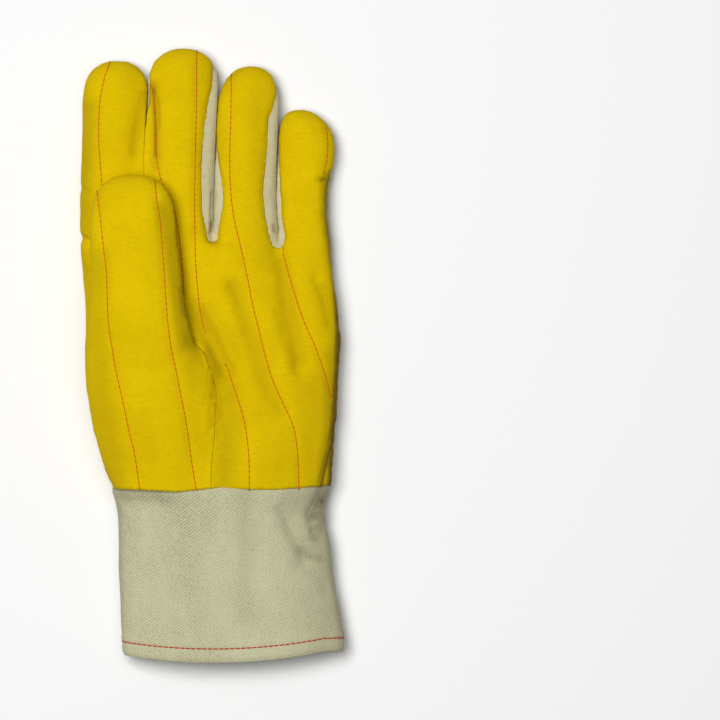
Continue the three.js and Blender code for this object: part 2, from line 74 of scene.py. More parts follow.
# How far a face has to look up, or towards the fingertips, to be seen from the palm side
LOOKS_UP = 0.12
LOOKS_WELL_UP = 0.3
LOOKS_ALONG = 0.45
LOOKS_DOWN = -0.3
# Along this part of the little finger's edge the nearest solid decides, not the outlines below
LITTLE_EDGE_X = 48 * MM
LITTLE_EDGE_Y = 92 * MM
FINGERS_START = 40 * MM
# X of the gap between two fingers at several Y, in millimetres
GAP_Y = (55, 75, 95, 113, 128, 145)
GAPS_X = (
    (-32.6, -33.2, -33.9, -33.1, -31.9, -31.5),
    (0.2, 0.4, 0.9, 1.6, 2.3, 2.5),
    (32.5, 30.9, 31.2, 31.9, 32.2, 32.2),
)
# Canvas that shows between the fingers from the palm side: closed outlines, in millimetres
CANVAS_SEEN = (
    [(0.5, 144), (0, 132.2), (-1.5, 124.4), (-2.9, 117), (-3.9, 110.7), (-4.9, 99.4), (-5.4, 85.2),
     (-4.9, 73.9), (-3.9, 66.6), (-1, 55.3), (0.3, 55.3), (3.4, 66.6), (4.8, 75.4), (4.2, 82.8),
     (2.7, 94), (1.5, 105.3), (2, 110.7), (2.5, 121), (2.8, 129.3), (2.2, 135.2), (2, 144)],
    [(31.6, 131), (30.9, 126.9), (27.9, 117.5), (26.5, 98.9), (25, 79.8), (26, 70.5), (27.9, 58.3),
     (30.4, 52.4), (33.8, 52.4), (34.3, 56), (33.8, 66.1), (32.6, 84.7), (32.4, 108.2), (32.4, 131)],
    [(-32.4, 143), (-30.2, 139), (-30.5, 133), (-33.5, 133)],
)
# The seam between the thumb's front and the palm, where it runs down to the wrist, in millimetres
THUMB_SEAM_Y = (-65, -50.5, -37.8, -22.6, -11.8)
THUMB_SEAM_X = (-0.5, 0, 0.5, 0.5, -0.5)


def gap_x(gap, y):
    return np.interp(y / MM, GAP_Y, GAPS_X[gap]) * MM


def eased_step(value):
    value = value.clip(0, 1)
    return value * value * (3 - 2 * value)


def dip(distance, reach):
    return np.exp(-((distance / reach) ** 2))


def finger_shift(y):
    return FINGER_SPREAD * eased_step((y - SPREAD_START) / SPREAD_RUN)


def thumb_shift(y):
    return THUMB_LIFT * eased_step((y - LIFT_START) / LIFT_RUN)


def finger_number(x, y, shift):
    """Which finger each point is on, counted from the index, when the fingers are shift apart."""
    return sum((x > gap_x(gap, y) + (gap - 1) * shift).astype(int) for gap in range(len(GAPS_X)))


def spread(points, thumb):
    """The fingers pulled apart and the thumb lifted, so that joining the skin doesn't fuse them."""
    moved = points.copy()
    x, y, z = moved.T
    if thumb:
        z += thumb_shift(y)
    else:
        x += (finger_number(x, y, 0) - 1.5) * finger_shift(y)
    return moved


def gather(points, thumb):
    """The opposite of spread, for points of which thumb says whether each is on the thumb."""
    moved = points.copy()
    x, y, z = moved.T
    shift = finger_shift(y)
    x -= np.where(thumb, 0, (finger_number(x, y, shift) - 1.5) * shift)
    z -= np.where(thumb, thumb_shift(y), 0)
    return moved


def in_scene(name, data):
    """A new object in the scene, unturned at the origin."""
    thing = bpy.data.objects.new(name, data)
    bpy.context.scene.collection.objects.link(thing)
    return thing


def applied(thing):
    """The plain mesh that an object's modifiers make."""
    bpy.context.view_layer.update()
    return bpy.data.meshes.new_from_object(thing.evaluated_get(bpy.context.evaluated_depsgraph_get()))


def merged_copy(node):
    """A bmesh of a CAD node's triangles with its doubled corners merged."""
    bm = bmesh.new()
    bm.from_mesh(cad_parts[node].data)
    bmesh.ops.remove_doubles(bm, verts=bm.verts, dist=1e-6)
    return bm


def slice_across(bm, start, stop, step):
    """Cuts edges into bm where it crosses planes of constant Y, so that it can bend there."""
    for y in np.arange(start, stop, step):
        everything = bm.verts[:] + bm.edges[:] + bm.faces[:]
        bmesh.ops.bisect_plane(bm, geom=everything, plane_co=(0, y, 0), plane_no=(0, 1, 0), dist=1e-7)


def spread_node(node):
    """(points, faces) of a CAD node in the spread hand."""
    bm = merged_copy(node)
    thumb = node.startswith("thumb")
    if thumb:
        slice_across(bm, LIFT_START, LIFT_START + LIFT_RUN + MM, 2 * MM)
    else:
        slice_across(bm, SPREAD_START, SPREAD_START + SPREAD_RUN + MM, 1.5 * MM)
    bmesh.ops.triangulate(bm, faces=bm.faces)
    points = spread(np.array([v.co for v in bm.verts]), thumb)
    faces = [[v.index for v in face.verts] for face in bm.faces]
    bm.free()
    return points, faces


def remeshed(points, faces, voxel):
    """(points, quads) of one even skin round the given solids."""
    mesh = bpy.data.meshes.new("joining")
    mesh.from_pydata(points.tolist(), [], faces)
    holder = in_scene("joining", mesh)
    modifier = holder.modifiers.new("joining", "REMESH")
    modifier.mode = "VOXEL"
    modifier.voxel_size = voxel
    even = applied(holder)
    co = np.zeros(len(even.vertices) * 3)
    even.vertices.foreach_get("co", co)
    corners = np.zeros(len(even.loops), np.int64)
    even.loops.foreach_get("vertex_index", corners)
    bpy.data.objects.remove(holder)
    bpy.data.meshes.remove(mesh)
    bpy.data.meshes.remove(even)
    return co.reshape(-1, 3), corners.reshape(-1, 4)


def edge_pairs(quads):
    """(edges, the first face on each, the second face on each or -1)."""
    sides = np.concatenate([quads[:, [k, (k + 1) % 4]] for k in range(4)])
    owner = np.tile(np.arange(len(quads)), 4)
    key = np.sort(sides, axis=1)
    order = np.lexsort((key[:, 1], key[:, 0]))
    key, owner = key[order], owner[order]
    first = np.ones(len(key), bool)
    first[1:] = (key[1:] != key[:-1]).any(axis=1)
    starts = np.flatnonzero(first)
    second = np.full(len(starts), -1)
    double = np.diff(np.append(starts, len(key))) > 1
    second[double] = owner[starts[double] + 1]
    return key[starts], owner[starts], second


def reached_from(start, count, edges):
    """Which of count points hang together with the start point."""
    reached = np.zeros(count, bool)
    reached[start] = True
    while True:
        new = reached[edges[:, 0]] != reached[edges[:, 1]]
        if not new.any():
            return reached
        reached[edges[new].ravel()] = True


def keep_faces(points, quads, kept):
    """Only the faces marked in kept, and the points that they use."""
    quads = quads[kept]
    used, fresh = np.unique(quads, return_inverse=True)
    return points[used], fresh.reshape(-1, 4), used


def eased(points, edges, rounds, free=None, factor=0.5):
    """Each free point moves towards the mean of its neighbours, several times over."""
    count = len(points)
    points = points.copy()
    reach = np.bincount(edges.ravel(), minlength=count).clip(1)
    for _ in range(rounds):
        mean = np.empty_like(points)
        for axis in range(points.shape[1]):
            total = np.bincount(edges[:, 0], points[edges[:, 1], axis], count)
            total += np.bincount(edges[:, 1], points[edges[:, 0], axis], count)
            mean[:, axis] = total / reach
        step = factor * (mean - points)
        if free is not None:
            step[~free] = 0
        points += step
    return points


def point_normals(points, quads):
    a, b, c, d = (points[quads[:, k]] for k in range(4))
    across = np.cross(c - a, d - b)
    normals = np.zeros_like(points)
    for k in range(4):
        for axis in range(3):
            normals[:, axis] += np.bincount(quads[:, k], across[:, axis], len(points))
    return normals / np.linalg.norm(normals, axis=1).clip(1e-12)[:, None]


def inside_outline(x, y, outline):
    """Which points lie inside a closed outline given in millimetres."""
    inside = np.zeros(len(x), bool)
    for (ax, ay), (bx, by) in zip(outline, outline[1:] + outline[:1]):
        if ay == by:
            continue
        crosses = (ay * MM > y) != (by * MM > y)
        inside ^= crosses & (x < ax * MM + (y - ay * MM) * (bx - ax) / (by - ay))
    return inside


def sorted_faces(nearest, centres, facing):
    """The cloth piece of each face, from the nearest CAD node and the outlines seen from above."""
    pieces = nearest.copy()
    x, y, _ = gather(centres, nearest >= 2).T
    seen = (facing[:, 2] > LOOKS_UP) | ((facing[:, 1] > LOOKS_ALONG) & (facing[:, 2] > LOOKS_DOWN))
    little_edge = (x > LITTLE_EDGE_X) & (y < LITTLE_EDGE_Y)
    fingers = (nearest < 2) & (y > FINGERS_START) & seen & ~little_edge
    canvas_seen = np.zeros(len(x), bool)
    for outline in CANVAS_SEEN:
        canvas_seen |= inside_outline(x, y, outline)
    pieces[fingers] = canvas_seen[fingers]
    seam_x = np.interp(y / MM, THUMB_SEAM_Y, THUMB_SEAM_X) * MM
    base = (y < BASE_SEAM_TOP) & (facing[:, 2] > LOOKS_WELL_UP) & (np.abs(x - seam_x) < BASE_SEAM_REACH)
    base &= (nearest == 0) | (nearest == 2)
    pieces[base] = np.where(x < seam_x, 2, 0)[base]
    return pieces


joined_points, joined_faces, joined_count = [], [], 0
trees = []
for node in HAND_NODES:
    node_points, node_faces = spread_node(node)
    trees.append(BVHTree.FromPolygons([Vector(p) for p in node_points], node_faces))
    joined_points.append(node_points)
    joined_faces += [[corner + joined_count for corner in face] for face in node_faces]
    joined_count += len(node_points)
skin, quads = remeshed(np.concatenate(joined_points), joined_faces, SKIN_VOXEL)

# Only the outside of the skin is kept: it is cut from the inside at the wrist
centre_y = skin[quads, 1].mean(axis=1)
skin, quads, _ = keep_faces(skin, quads, centre_y > WRIST_Y + WRIST_CUT)
edges, _, _ = edge_pairs(quads)
outside = reached_from(int(skin[:, 2].argmax()), len(skin), edges)
skin, quads, _ = keep_faces(skin, quads, outside[quads[:, 0]])
edges, face_a, face_b = edge_pairs(quads)
rim = np.zeros(len(skin), bool)
rim[edges[face_b < 0].ravel()] = True
skin[rim, 1] = WRIST_Y
rim_edges = edges[face_b < 0]
for _ in range(SKIN_ROUNDS):
    skin[rim] = eased(skin, rim_edges, 1)[rim]
    skin = eased(skin, edges, 1, ~rim)
skin += point_normals(skin, quads) * SKIN_SWELL
skin[rim, 1] = WRIST_Y
skin[:, 2] = skin[:, 2].clip(0)

# Each face goes to the cloth piece that it lies nearest to, and the seams between them are eased
centres = skin[quads].mean(axis=1)
reach = np.array([[tree.find_nearest(Vector(c))[3] for tree in trees] for c in centres])
across = np.cross(skin[quads[:, 2]] - skin[quads[:, 0]], skin[quads[:, 3]] - skin[quads[:, 1]])
facing = across / np.linalg.norm(across, axis=1).clip(1e-12)[:, None]
share = np.eye(len(HAND_NODES))[sorted_faces(reach.argmin(axis=1), centres, facing)]
inner = face_b >= 0
for _ in range(PIECE_ROUNDS):
    around = share.copy()
    for piece in range(len(HAND_NODES)):
        around[:, piece] += np.bincount(face_a[inner], share[face_b[inner], piece], len(quads))
        around[:, piece] += np.bincount(face_b[inner], share[face_a[inner], piece], len(quads))
    share = around / around.sum(axis=1)[:, None]
piece_of = share.argmax(axis=1)
seam = np.zeros(len(edges), bool)
seam[inner] = piece_of[face_a[inner]] != piece_of[face_b[inner]]
on_seam = np.zeros(len(skin), bool)
on_seam[edges[seam].ravel()] = True
skin[on_seam & ~rim] = eased(skin, edges[seam], SEAM_ROUNDS, ~rim)[on_seam & ~rim]
skin = eased(skin, edges, 3, ~rim & ~on_seam)

# The thumb's base passes softly into the palm
base_seam_x = np.interp(skin[:, 1] / MM, THUMB_SEAM_Y, THUMB_SEAM_X) * MM
softness = dip(skin[:, 0] - base_seam_x, BASE_REACH) * eased_step((BASE_TOP - skin[:, 1]) / BASE_RUN)
softness *= (point_normals(skin, quads)[:, 2] > 0) & ~rim
softened = eased(skin, edges, BASE_ROUNDS, ~rim)
skin += softness[:, None] * (softened - skin)
base_seam = on_seam & (softness > 0)
skin[base_seam] = eased(skin, edges[seam], BASE_SEAM_ROUNDS, base_seam)[base_seam]
skin = eased(skin, edges, 4, (softness > 0) & ~on_seam)

# How far each point of the skin is from a seam
seam_points = skin[on_seam]
seam_tree = KDTree(len(seam_points))
for i, p in enumerate(seam_points):
    seam_tree.insert(p, i)
seam_tree.balance()
from_seam = np.array([seam_tree.find(p)[2] for p in skin])

# Back to the closed hand
thumb_faces = piece_of >= 2
on_thumb = np.zeros(len(skin), bool)
on_thumb[quads[thumb_faces].ravel()] = True
skin = gather(skin, on_thumb)
gap_side = [np.sign(skin[:, 0] - gap_x(gap, skin[:, 1])) for gap in range(len(GAPS_X))]

# The quilting, the folds and the seams of the hand's cloth.
# Rows of lockstitch hold the two plies of yellow cotton together, and the cloth dips along them. At
# each seam the edges turn inwards, and the palm has the soft folds of a hand that is half closed.
PALM_ROWS = (
    ((-50.5, 147), (-50.5, 143), (-53, 137), (-55.5, 124), (-56, 107), (-55, 94), (-54, 81), (-53, 58)),
    ((-32.2, 133.4), (-30.5, 132.8), (-29.3, 129), (-28.2, 120.5), (-27.5, 110.5), (-27.7, 97),
     (-25, 84), (-18.5, 70.5), (-17, 62.5), (-15.5, 52), (-14.5, 40), (-14, 31)),
    ((-8, 150), (-8, 122.5), (-8.5, 101.5), (-9, 75.5), (-8.5, 47), (-7, 28.5), (-5, 16), (-3.5, 12)),
    ((6.5, -4.5), (7.5, -6.5), (11, -17), (15, -29), (17, -40), (18, -52), (18, -64.8)),
    ((9, 142), (9, 120.5), (8, 92), (9.5, 70.5), (13.5, 54), (17, 38.5), (19, 27.5), (22, 15),
     (25.5, 1), (29, -11.5), (36.5, -27.5), (39.5, -34), (41, -42), (42, -54), (42, -64.8)),
    ((34.5, 52), (34.5, 49), (40, 30.5), (44.5, 16.5), (50.5, 4), (55, -9.5), (57.5, -20)),
    ((55.3, 111), (56, 107), (56.2, 101), (55.5, 95), (54.3, 90)),
)
THUMB_ROWS = (
    ((-56, 80), (-55.5, 76.5), (-54, 65), (-52.5, 51), (-51, 39.5), (-50.5, 17.5), (-49, 7.5),
     (-47.5, -2.5), (-45.5, -13), (-42.5, -25.5), (-40.5, -37), (-38, -46), (-35.5, -64.8)),
    ((-28, 86), (-27.5, 82), (-27, 76), (-25.5, 68), (-24.5, 57.5), (-23.5, 44), (-22.5, 29.5),
     (-21.5, 16), (-20, 4), (-17.5, -7), (-15, -20.5), (-12.5, -33), (-10.5, -49.5), (-8, -64.8)),
)
ROW_DEPTH = 0.4 * MM
ROW_REACH = 1.8 * MM
SEAM_DEPTH = 1.0 * MM
THUMB_SEAM_DEPTH = 0.05 * MM
SEAM_REACH = 2.0 * MM
WRIST_DEPTH = 0.3 * MM
WRIST_TUCK = 2.2 * MM
WRIST_TUCK_REACH = 6.5 * MM
# Folds of the palm, in millimetres: a line in plan, the fold's half width and its rise
FOLDS = (
    (((10.5, 34), (15, 22), (19, 9), (22.5, -3), (27, -15), (34, -26)), 4.4, -2.5),
    (((4, 18), (10, 2), (16, -12)), 3.4, 0.8),
    (((32.5, 50), (35.5, 38), (37, 27), (39.5, 14), (42, 1), (43, -6)), 4.0, -2.3),
    (((28, 22), (32, 8), (36, -6)), 3.0, 0.6),
    (((51, 38), (55, 27), (58, 16)), 3.2, -1.5),
    (((-2, 42), (6, 28), (14, 15)), 7, 1.3),
    (((-9, 24), (-4, 13), (2, 2), (7, -8)), 3.4, -2.2),
    (((-2.5, 24), (4, 11), (10, -2)), 2.6, 1.0),
    (((5, -14), (8, -28), (9, -42), (7.5, -63)), 6, -1.6),
    (((-20, 45), (-17, 30), (-14, 18), (-11, 8)), 4, -0.8),
    (((-58.5, 70), (-60, 61), (-60, 52), (-58.5, 41), (-59, 30)), 1.6, -1.6),
    (((59.6, -34), (57.4, -45), (54.6, -56), (53, -63.5)), 1.6, -1.5),
    (((55, -34), (52.5, -47), (50, -60)), 3.0, 0.4),
    (((-67, 59.2), (-62, 56.2), (-59.8, 53.4), (-58.3, 48)), 1.7, -3.2),
    (((-65, 51), (-61.5, 45)), 2.5, 1.0),
    (((-66, 83), (-61, 80.5)), 1.4, -1.1),
    (((51.5, 86), (55, 87), (58.5, 90)), 1.4, -1.3),
    (((58, 84), (58.5, 74), (58.5, 60)), 3.2, -1.6),
    (((52.5, 84), (53.5, 74)), 2.2, 0.6),
    (((-29.8, 132), (-28.9, 121), (-28.5, 112)), 2.2, -0.9),
    (((-29, 124), (-28.6, 112), (-28.4, 98)), 3.2, -0.6),
    (((-33, 128), (-34.5, 117), (-37, 108), (-38, 99)), 3.4, -1.2),
    (((-0.5, 80), (-0.8, 70), (-0.5, 60)), 0.9, -1.2),
)
# Places of the palm with painted shade, in millimetres: a line in plan, the place's half width and
# how dark the painted shade is. It is darkest in the hollows of the folds and along the edges.
PAINTED_SHADE_PLACES = (
    (((60.6, 40), (61.8, 12), (61.3, -6), (60, -25), (58.8, -45), (57.8, -64)), 2.8, 1.0),
    (((59.5, 0), (57.5, -25), (56, -45), (54.5, -64)), 5.2, 0.45),
    (((60, 28), (60.5, 10), (60, -8), (58.6, -26), (57.2, -40), (55, -64)), 4.6, 0.32),
    (((59.6, -34), (57.4, -45), (54.6, -56), (53, -63.5)), 1.2, 1.0),
    (((58, -50), (55.5, -63)), 3.0, 0.5),
    (((48, -15), (50, -35), (49, -62)), 9, 0.2),
    (((28, -30), (32, -45), (33, -62)), 10, 0.13),
    (((-15.5, 22), (-13, 10)), 2.5, 0.3),
    (((-20, 46), (-18, 34), (-15, 20)), 3.0, 0.2),
    (((-7, 20), (-1, 8), (4, -4), (8, -16), (9, -32), (7, -60)), 6.5, 0.3),
    (((10.5, 34), (15, 22), (19, 9), (22.5, -3), (27, -15), (34, -26)), 4.0, 0.25),
    (((33.5, 46), (36.5, 33), (38.5, 21), (41, 9), (42.5, -2)), 3.8, 0.28),
    (((54, 34), (58, 20)), 3.0, 0.25),
    (((53, 86), (56.5, 87.5), (58, 90)), 1.6, 0.7),
    (((56.5, 86), (56, 76), (56.2, 66), (57.5, 56), (59, 44)), 2.6, 0.75),
    (((53.5, 86), (53.6, 76), (54, 66)), 1.8, 0.4),
    (((-29.2, 131), (-28.6, 121), (-28.1, 110), (-28.1, 98)), 1.3, 0.7),
    (((-29.2, 132), (-28.8, 121), (-28.3, 106), (-28.3, 92)), 2.4, 0.35),
    (((-33, 128), (-34.5, 117), (-37, 108), (-38, 99)), 2.8, 0.28),
    (((-60, 122), (-61.5, 100), (-61.5, 80), (-61.5, 62)), 4.5, 0.3),
    (((-62, 50), (-60, 30), (-57, 10)), 2.0, 0.3),
    (((-7, 142), (-7.2, 110), (-7.5, 62)), 3.6, 0.16),
    (((21, 128), (22, 100), (23, 75), (27, 45)), 5.0, 0.18),
    (((29.4, 64), (29.8, 61)), 1.0, 1.0),
    (((-1.2, 65), (-0.9, 61)), 1.0, 1.0),
)
# The same painted shade for the thumb
THUMB_PAINTED_SHADE_PLACES = (
    (((-54, 48), (-55, 15), (-54, -12), (-50.5, -35), (-46, -62)), 5.5, 0.24),
    (((-56, -20), (-53, -40), (-50, -62)), 3.0, 0.2),
    (((-25, 72), (-21.5, 55), (-19.5, 42), (-17.5, 30), (-15.5, 18), (-12.5, 6)), 3.8, 0.45),
    (((-15.8, 32), (-14, 20)), 3.4, 0.55),
)
# How the thumb's base is filled where it joins the palm
BASE_FILL = ((((-4, 4), (-3.5, -14), (-3.5, -36)), 4.2, 1.3),)
GAP_CLOSING = (1.3 * MM, 0.9 * MM, 0.9 * MM)
CLOSING_REACH = 4 * MM
LEAST_GAP = 0.04 * MM
GAP_FILLING = (3.2 * MM, 0.5 * MM, 0.5 * MM)
FILLING_REACH = (3.6 * MM, 2.2 * MM, 2.2 * MM)
TIP_GROWTH = (1.0 * MM, 0.9 * MM, 0.9 * MM, 0.1 * MM)
TIP_REACH = 20 * MM
VALLEY_DEPTH = 0.9 * MM
# Where the index finger and the middle finger lie flush, along Y, and where the height beside is read
VALLEY_START = 64 * MM
VALLEY_END = 130 * MM
VALLEY_EASE = 12 * MM
VALLEY_REACH = 2.5 * MM
PULL_REACH = 2.6 * MM
CREST_Y = np.arange(62, 142) * MM
CREST_AWAY = 3.2 * MM
CREST_SPAN = 9
FLOOR_SOFTNESS = 0.5 * MM
# Unevenness of the cloth in millimetres: its height, the size of its lumps and its seed
HAND_UNEVEN = ((0.6, 24, 3.1), (0.22, 7, 8.4))
SEAM_UNEVEN = (0.4, 3.2, 5.7)
# Below this height the palm's painted shade fades out, and over this much of it
PAINTED_SHADE_LOW = 6 * MM
PAINTED_SHADE_FADE = 9 * MM


def from_line(x, y, line):
    """Distance in plan from each point to a line through a few points given in millimetres."""
    nearest = np.full(len(x), np.inf)
    for (ax, ay), (bx, by) in zip(line, line[1:]):
        start = np.array((ax, ay)) * MM
        run = np.array((bx - ax, by - ay)) * MM
        along = ((x - start[0]) * run[0] + (y - start[1]) * run[1]) / (run @ run)
        along = along.clip(0, 1)
        away = np.hypot(x - start[0] - along * run[0], y - start[1] - along * run[1])
        nearest = np.minimum(nearest, away)
    return nearest


def soft_noise(points, size, seed):
    """Smooth noise between -1 and 1, whose lumps are about size across."""
    offset = Vector((seed, 2.7 * seed, -1.3 * seed))
    return np.array([noise.noise(Vector(p) / size + offset) for p in points])


def uneven(points, height_mm, size_mm, seed):
    return height_mm * MM * soft_noise(points, size_mm * MM, seed)


def folded(x, y, folds):
    """How far folds lift the cloth at each point."""
    return sum(rise * MM * dip(from_line(x, y, line), reach * MM) for line, reach, rise in folds)


def painted_shade_at(x, y, places):
    """How much painted shade the cloth has at each point."""
    darkness = [strength * dip(from_line(x, y, line), reach * MM) for line, reach, strength in places]
    return np.max(darkness, axis=0)


normals = point_normals(skin, quads)
facing_up = (normals[:, 2] / 0.35).clip(0, 1)
x, y = skin[:, 0], skin[:, 1]
on_palm = np.zeros(len(skin), bool)
on_palm[quads[piece_of == 0].ravel()] = True
rise = np.zeros(len(skin))
for rows, there in ((PALM_ROWS, on_palm & ~on_thumb), (THUMB_ROWS, on_thumb)):
    for line in rows:
        rise -= ROW_DEPTH * dip(from_line(x, y, line), ROW_REACH) * there * facing_up
rise += folded(x, y, FOLDS) * np.where(on_thumb, 0, (normals[:, 2] + 0.35).clip(0, 1))
rise += folded(x, y, BASE_FILL) * facing_up
for unevenness in HAND_UNEVEN:
    rise += uneven(skin, *unevenness)
rise += uneven(skin, *SEAM_UNEVEN) * dip(from_seam, 5 * MM)
seam_depth = np.where(y < BASE_TOP, THUMB_SEAM_DEPTH, SEAM_DEPTH)
rise -= seam_depth * dip(from_seam, SEAM_REACH)
rise -= WRIST_DEPTH * dip(skin[:, 1] - WRIST_Y, SEAM_REACH)
rise -= WRIST_TUCK * dip(skin[:, 1] - WRIST_Y, WRIST_TUCK_REACH) * (-normals[:, 0]).clip(0, 1)
skin += normals * rise[:, None]

# Neighbouring fingers lie against each other, so their sides are brought together until they touch
beyond_web = ((skin[:, 1] - SPREAD_START) / (6 * MM)).clip(0, 1)
for gap, side in enumerate(gap_side):
    middle = gap_x(gap, skin[:, 1])
    away = side * (skin[:, 0] - middle)
    near = (np.abs(away) < 3 * CLOSING_REACH) & (beyond_web > 0) & ~on_thumb
    closed = np.maximum(away - GAP_CLOSING[gap] * beyond_web * dip(away, CLOSING_REACH), LEAST_GAP)
    skin[near, 0] = (middle + side * closed)[near]
    skin[near, 2] += (GAP_FILLING[gap] * beyond_web * dip(away, FILLING_REACH[gap]))[near]

# The index finger and the middle finger lie flush, with only a soft valley between them
away = skin[:, 0] - gap_x(0, skin[:, 1])
crests = []
for side in (-1, 1):
    beside = ~on_thumb & (np.abs(side * away - CREST_AWAY) < 0.7 * MM)
    crests.append([skin[beside & (np.abs(skin[:, 1] - y) < 3 * MM), 2].max(initial=0) for y in CREST_Y])
crest = np.pad(np.mean(crests, axis=0), CREST_SPAN // 2, mode="edge")
crest = np.convolve(crest, np.full(CREST_SPAN, 1 / CREST_SPAN), mode="valid")
lid = np.interp(skin[:, 1], CREST_Y, crest) - VALLEY_DEPTH * dip(away, VALLEY_REACH)
beside = ~on_thumb & (normals[:, 2] > 0.1) & (skin[:, 1] > VALLEY_START) & (skin[:, 1] < VALLEY_END)
beside &= (np.abs(away) < 6 * MM) & (skin[:, 2] > lid - 7 * MM)
pull = dip(away, PULL_REACH) * eased_step((VALLEY_END - skin[:, 1]) / VALLEY_EASE) * beside
skin[:, 2] += pull * (lid - skin[:, 2])
skin[:, 2] += beside * (eased(skin, edges, 8, beside) - skin)[:, 2]

# Rounding has drawn the fingertips back a little
finger = finger_number(skin[:, 0], skin[:, 1], 0)
for number, growth in enumerate(TIP_GROWTH):
    on_finger = (finger == number) & ~on_thumb & (skin[:, 1] > SPREAD_START)
    tip = skin[on_finger, 1].max()
    skin[on_finger, 1] += growth * eased_step((skin[on_finger, 1] - tip + TIP_REACH) / TIP_REACH)

# The wrist seam isn't quite straight
WRIST_WAVE_X = (-50, -31, -18, -7, 4, 13, 29, 45, 58)
WRIST_WAVE = (0, -0.7, -1.5, -0.5, 0.7, 0, -0.5, 0.7, 1.8)


def wrist_wave(points):
    """How far the wrist seam's wave moves points along Y: all on the palm side, nothing beneath."""
    wave = np.interp(points[:, 0] / MM, WRIST_WAVE_X, WRIST_WAVE) * MM
    near = (1 - np.abs(points[:, 1] - WRIST_Y) / (18 * MM)).clip(0, 1)
    return wave * near * (points[:, 2] / (20 * MM)).clip(0, 1)


skin[rim, 1] = WRIST_Y
skin[:, 1] += wrist_wave(skin)


def laid_down(z):
    """Heights pressed softly against the floor, so that none is below it."""
    return (z + np.sqrt(z**2 + FLOOR_SOFTNESS**2)) / 2


skin[:, 2] = laid_down(skin[:, 2])
normals = point_normals(skin, quads)
x, y, z = skin.T
# Painted shade: darkening painted into the cloth's colour in the folds' hollows, along the edges and
# beside the thumb
painted_shade = np.where(on_thumb, painted_shade_at(x, y, THUMB_PAINTED_SHADE_PLACES), painted_shade_at(x, y, PAINTED_SHADE_PLACES))
painted_shade *= eased_step((z - PAINTED_SHADE_LOW) / PAINTED_SHADE_FADE)

# Napped yellow cotton, brushed outside.
# Both plies are woven and then raised into a soft nap, which shows faint lines across the hand where
# the weft lies, small felted clumps, and a bright edge where the fibres catch the light.


def node_tree(name):
    material = bpy.data.materials.new(name)
    material.use_nodes = True
    tree = material.node_tree
    return material, tree, tree.nodes["Principled BSDF"]


def add(tree, kind, inputs=None, **settings):
    node = tree.nodes.new(kind)
    for key, value in settings.items():
        setattr(node, key, value)
    for key, value in (inputs or {}).items():
        if isinstance(value, bpy.types.NodeSocket):
            tree.links.new(value, node.inputs[key])
        else:
            node.inputs[key].default_value = value
    return node


def mapped(tree, source, scale, rotation=(0, 0, 0)):
    inputs = {"Vector": source, "Scale": scale, "Rotation": rotation}
    return add(tree, "ShaderNodeMapping", inputs).outputs[0]


def noise_of(tree, vector, scale, detail=2.0, roughness=0.5):
    inputs = {"Vector": vector, "Scale": scale, "Detail": detail, "Roughness": roughness}
    return add(tree, "ShaderNodeTexNoise", inputs).outputs["Fac"]


def mix_colour(tree, factor, a, b):
    return add(tree, "ShaderNodeMix", {0: factor, 6: a, 7: b}, data_type="RGBA").outputs[2]


def spread_of(tree, value, low, high):
    """value with the stretch from low to high widened to 0 to 1."""
    inputs = {"Value": value, "From Min": low, "From Max": high}
    return add(tree, "ShaderNodeMapRange", inputs).outputs[0]


def added(tree, a, b):
    return add(tree, "ShaderNodeMath", {0: a, 1: b}, operation="ADD").outputs[0]


def times(tree, a, b):
    return add(tree, "ShaderNodeMath", {0: a, 1: b}, operation="MULTIPLY").outputs[0]


def share_of(tree, value, low, high, share):
    """How much of a colour to mix in: from none at low to share at high."""
    return times(tree, spread_of(tree, value, low, high), share)


def patchy_painted_shade(tree, place, patchiness):
    """The painted shade that the cloth's points carry, broken up into patches."""
    shade_amount = add(tree, "ShaderNodeAttribute", attribute_name="painted_shade").outputs["Fac"]
    patches = spread_of(tree, noise_of(tree, place, 260, 3), 0.2, 0.8)
    return times(tree, shade_amount, added(tree, times(tree, patches, patchiness), 1 - patchiness))


def finish_cloth(tree, shader, colour, height, bump, values):
    """Gives the shader its colour, a bump of (strength, depth) and its plain values."""
    tree.links.new(colour, shader.inputs["Base Color"])
    inputs = {"Height": height, "Strength": bump[0], "Distance": bump[1]}
    tree.links.new(add(tree, "ShaderNodeBump", inputs).outputs[0], shader.inputs["Normal"])
    for name, value in values.items():
        shader.inputs[name].default_value = value


YELLOW = (0.64, 0.445, 0.0006, 1)
YELLOW_DEEP = (0.50, 0.325, 0.0005, 1)
YELLOW_LIGHT = (0.70, 0.50, 0.001, 1)
# Painted shade, light and deep
YELLOW_SHADED = (0.30, 0.21, 0.002, 1)
YELLOW_DEEP_PAINTED_SHADE = (0.13, 0.07, 0.012, 1)


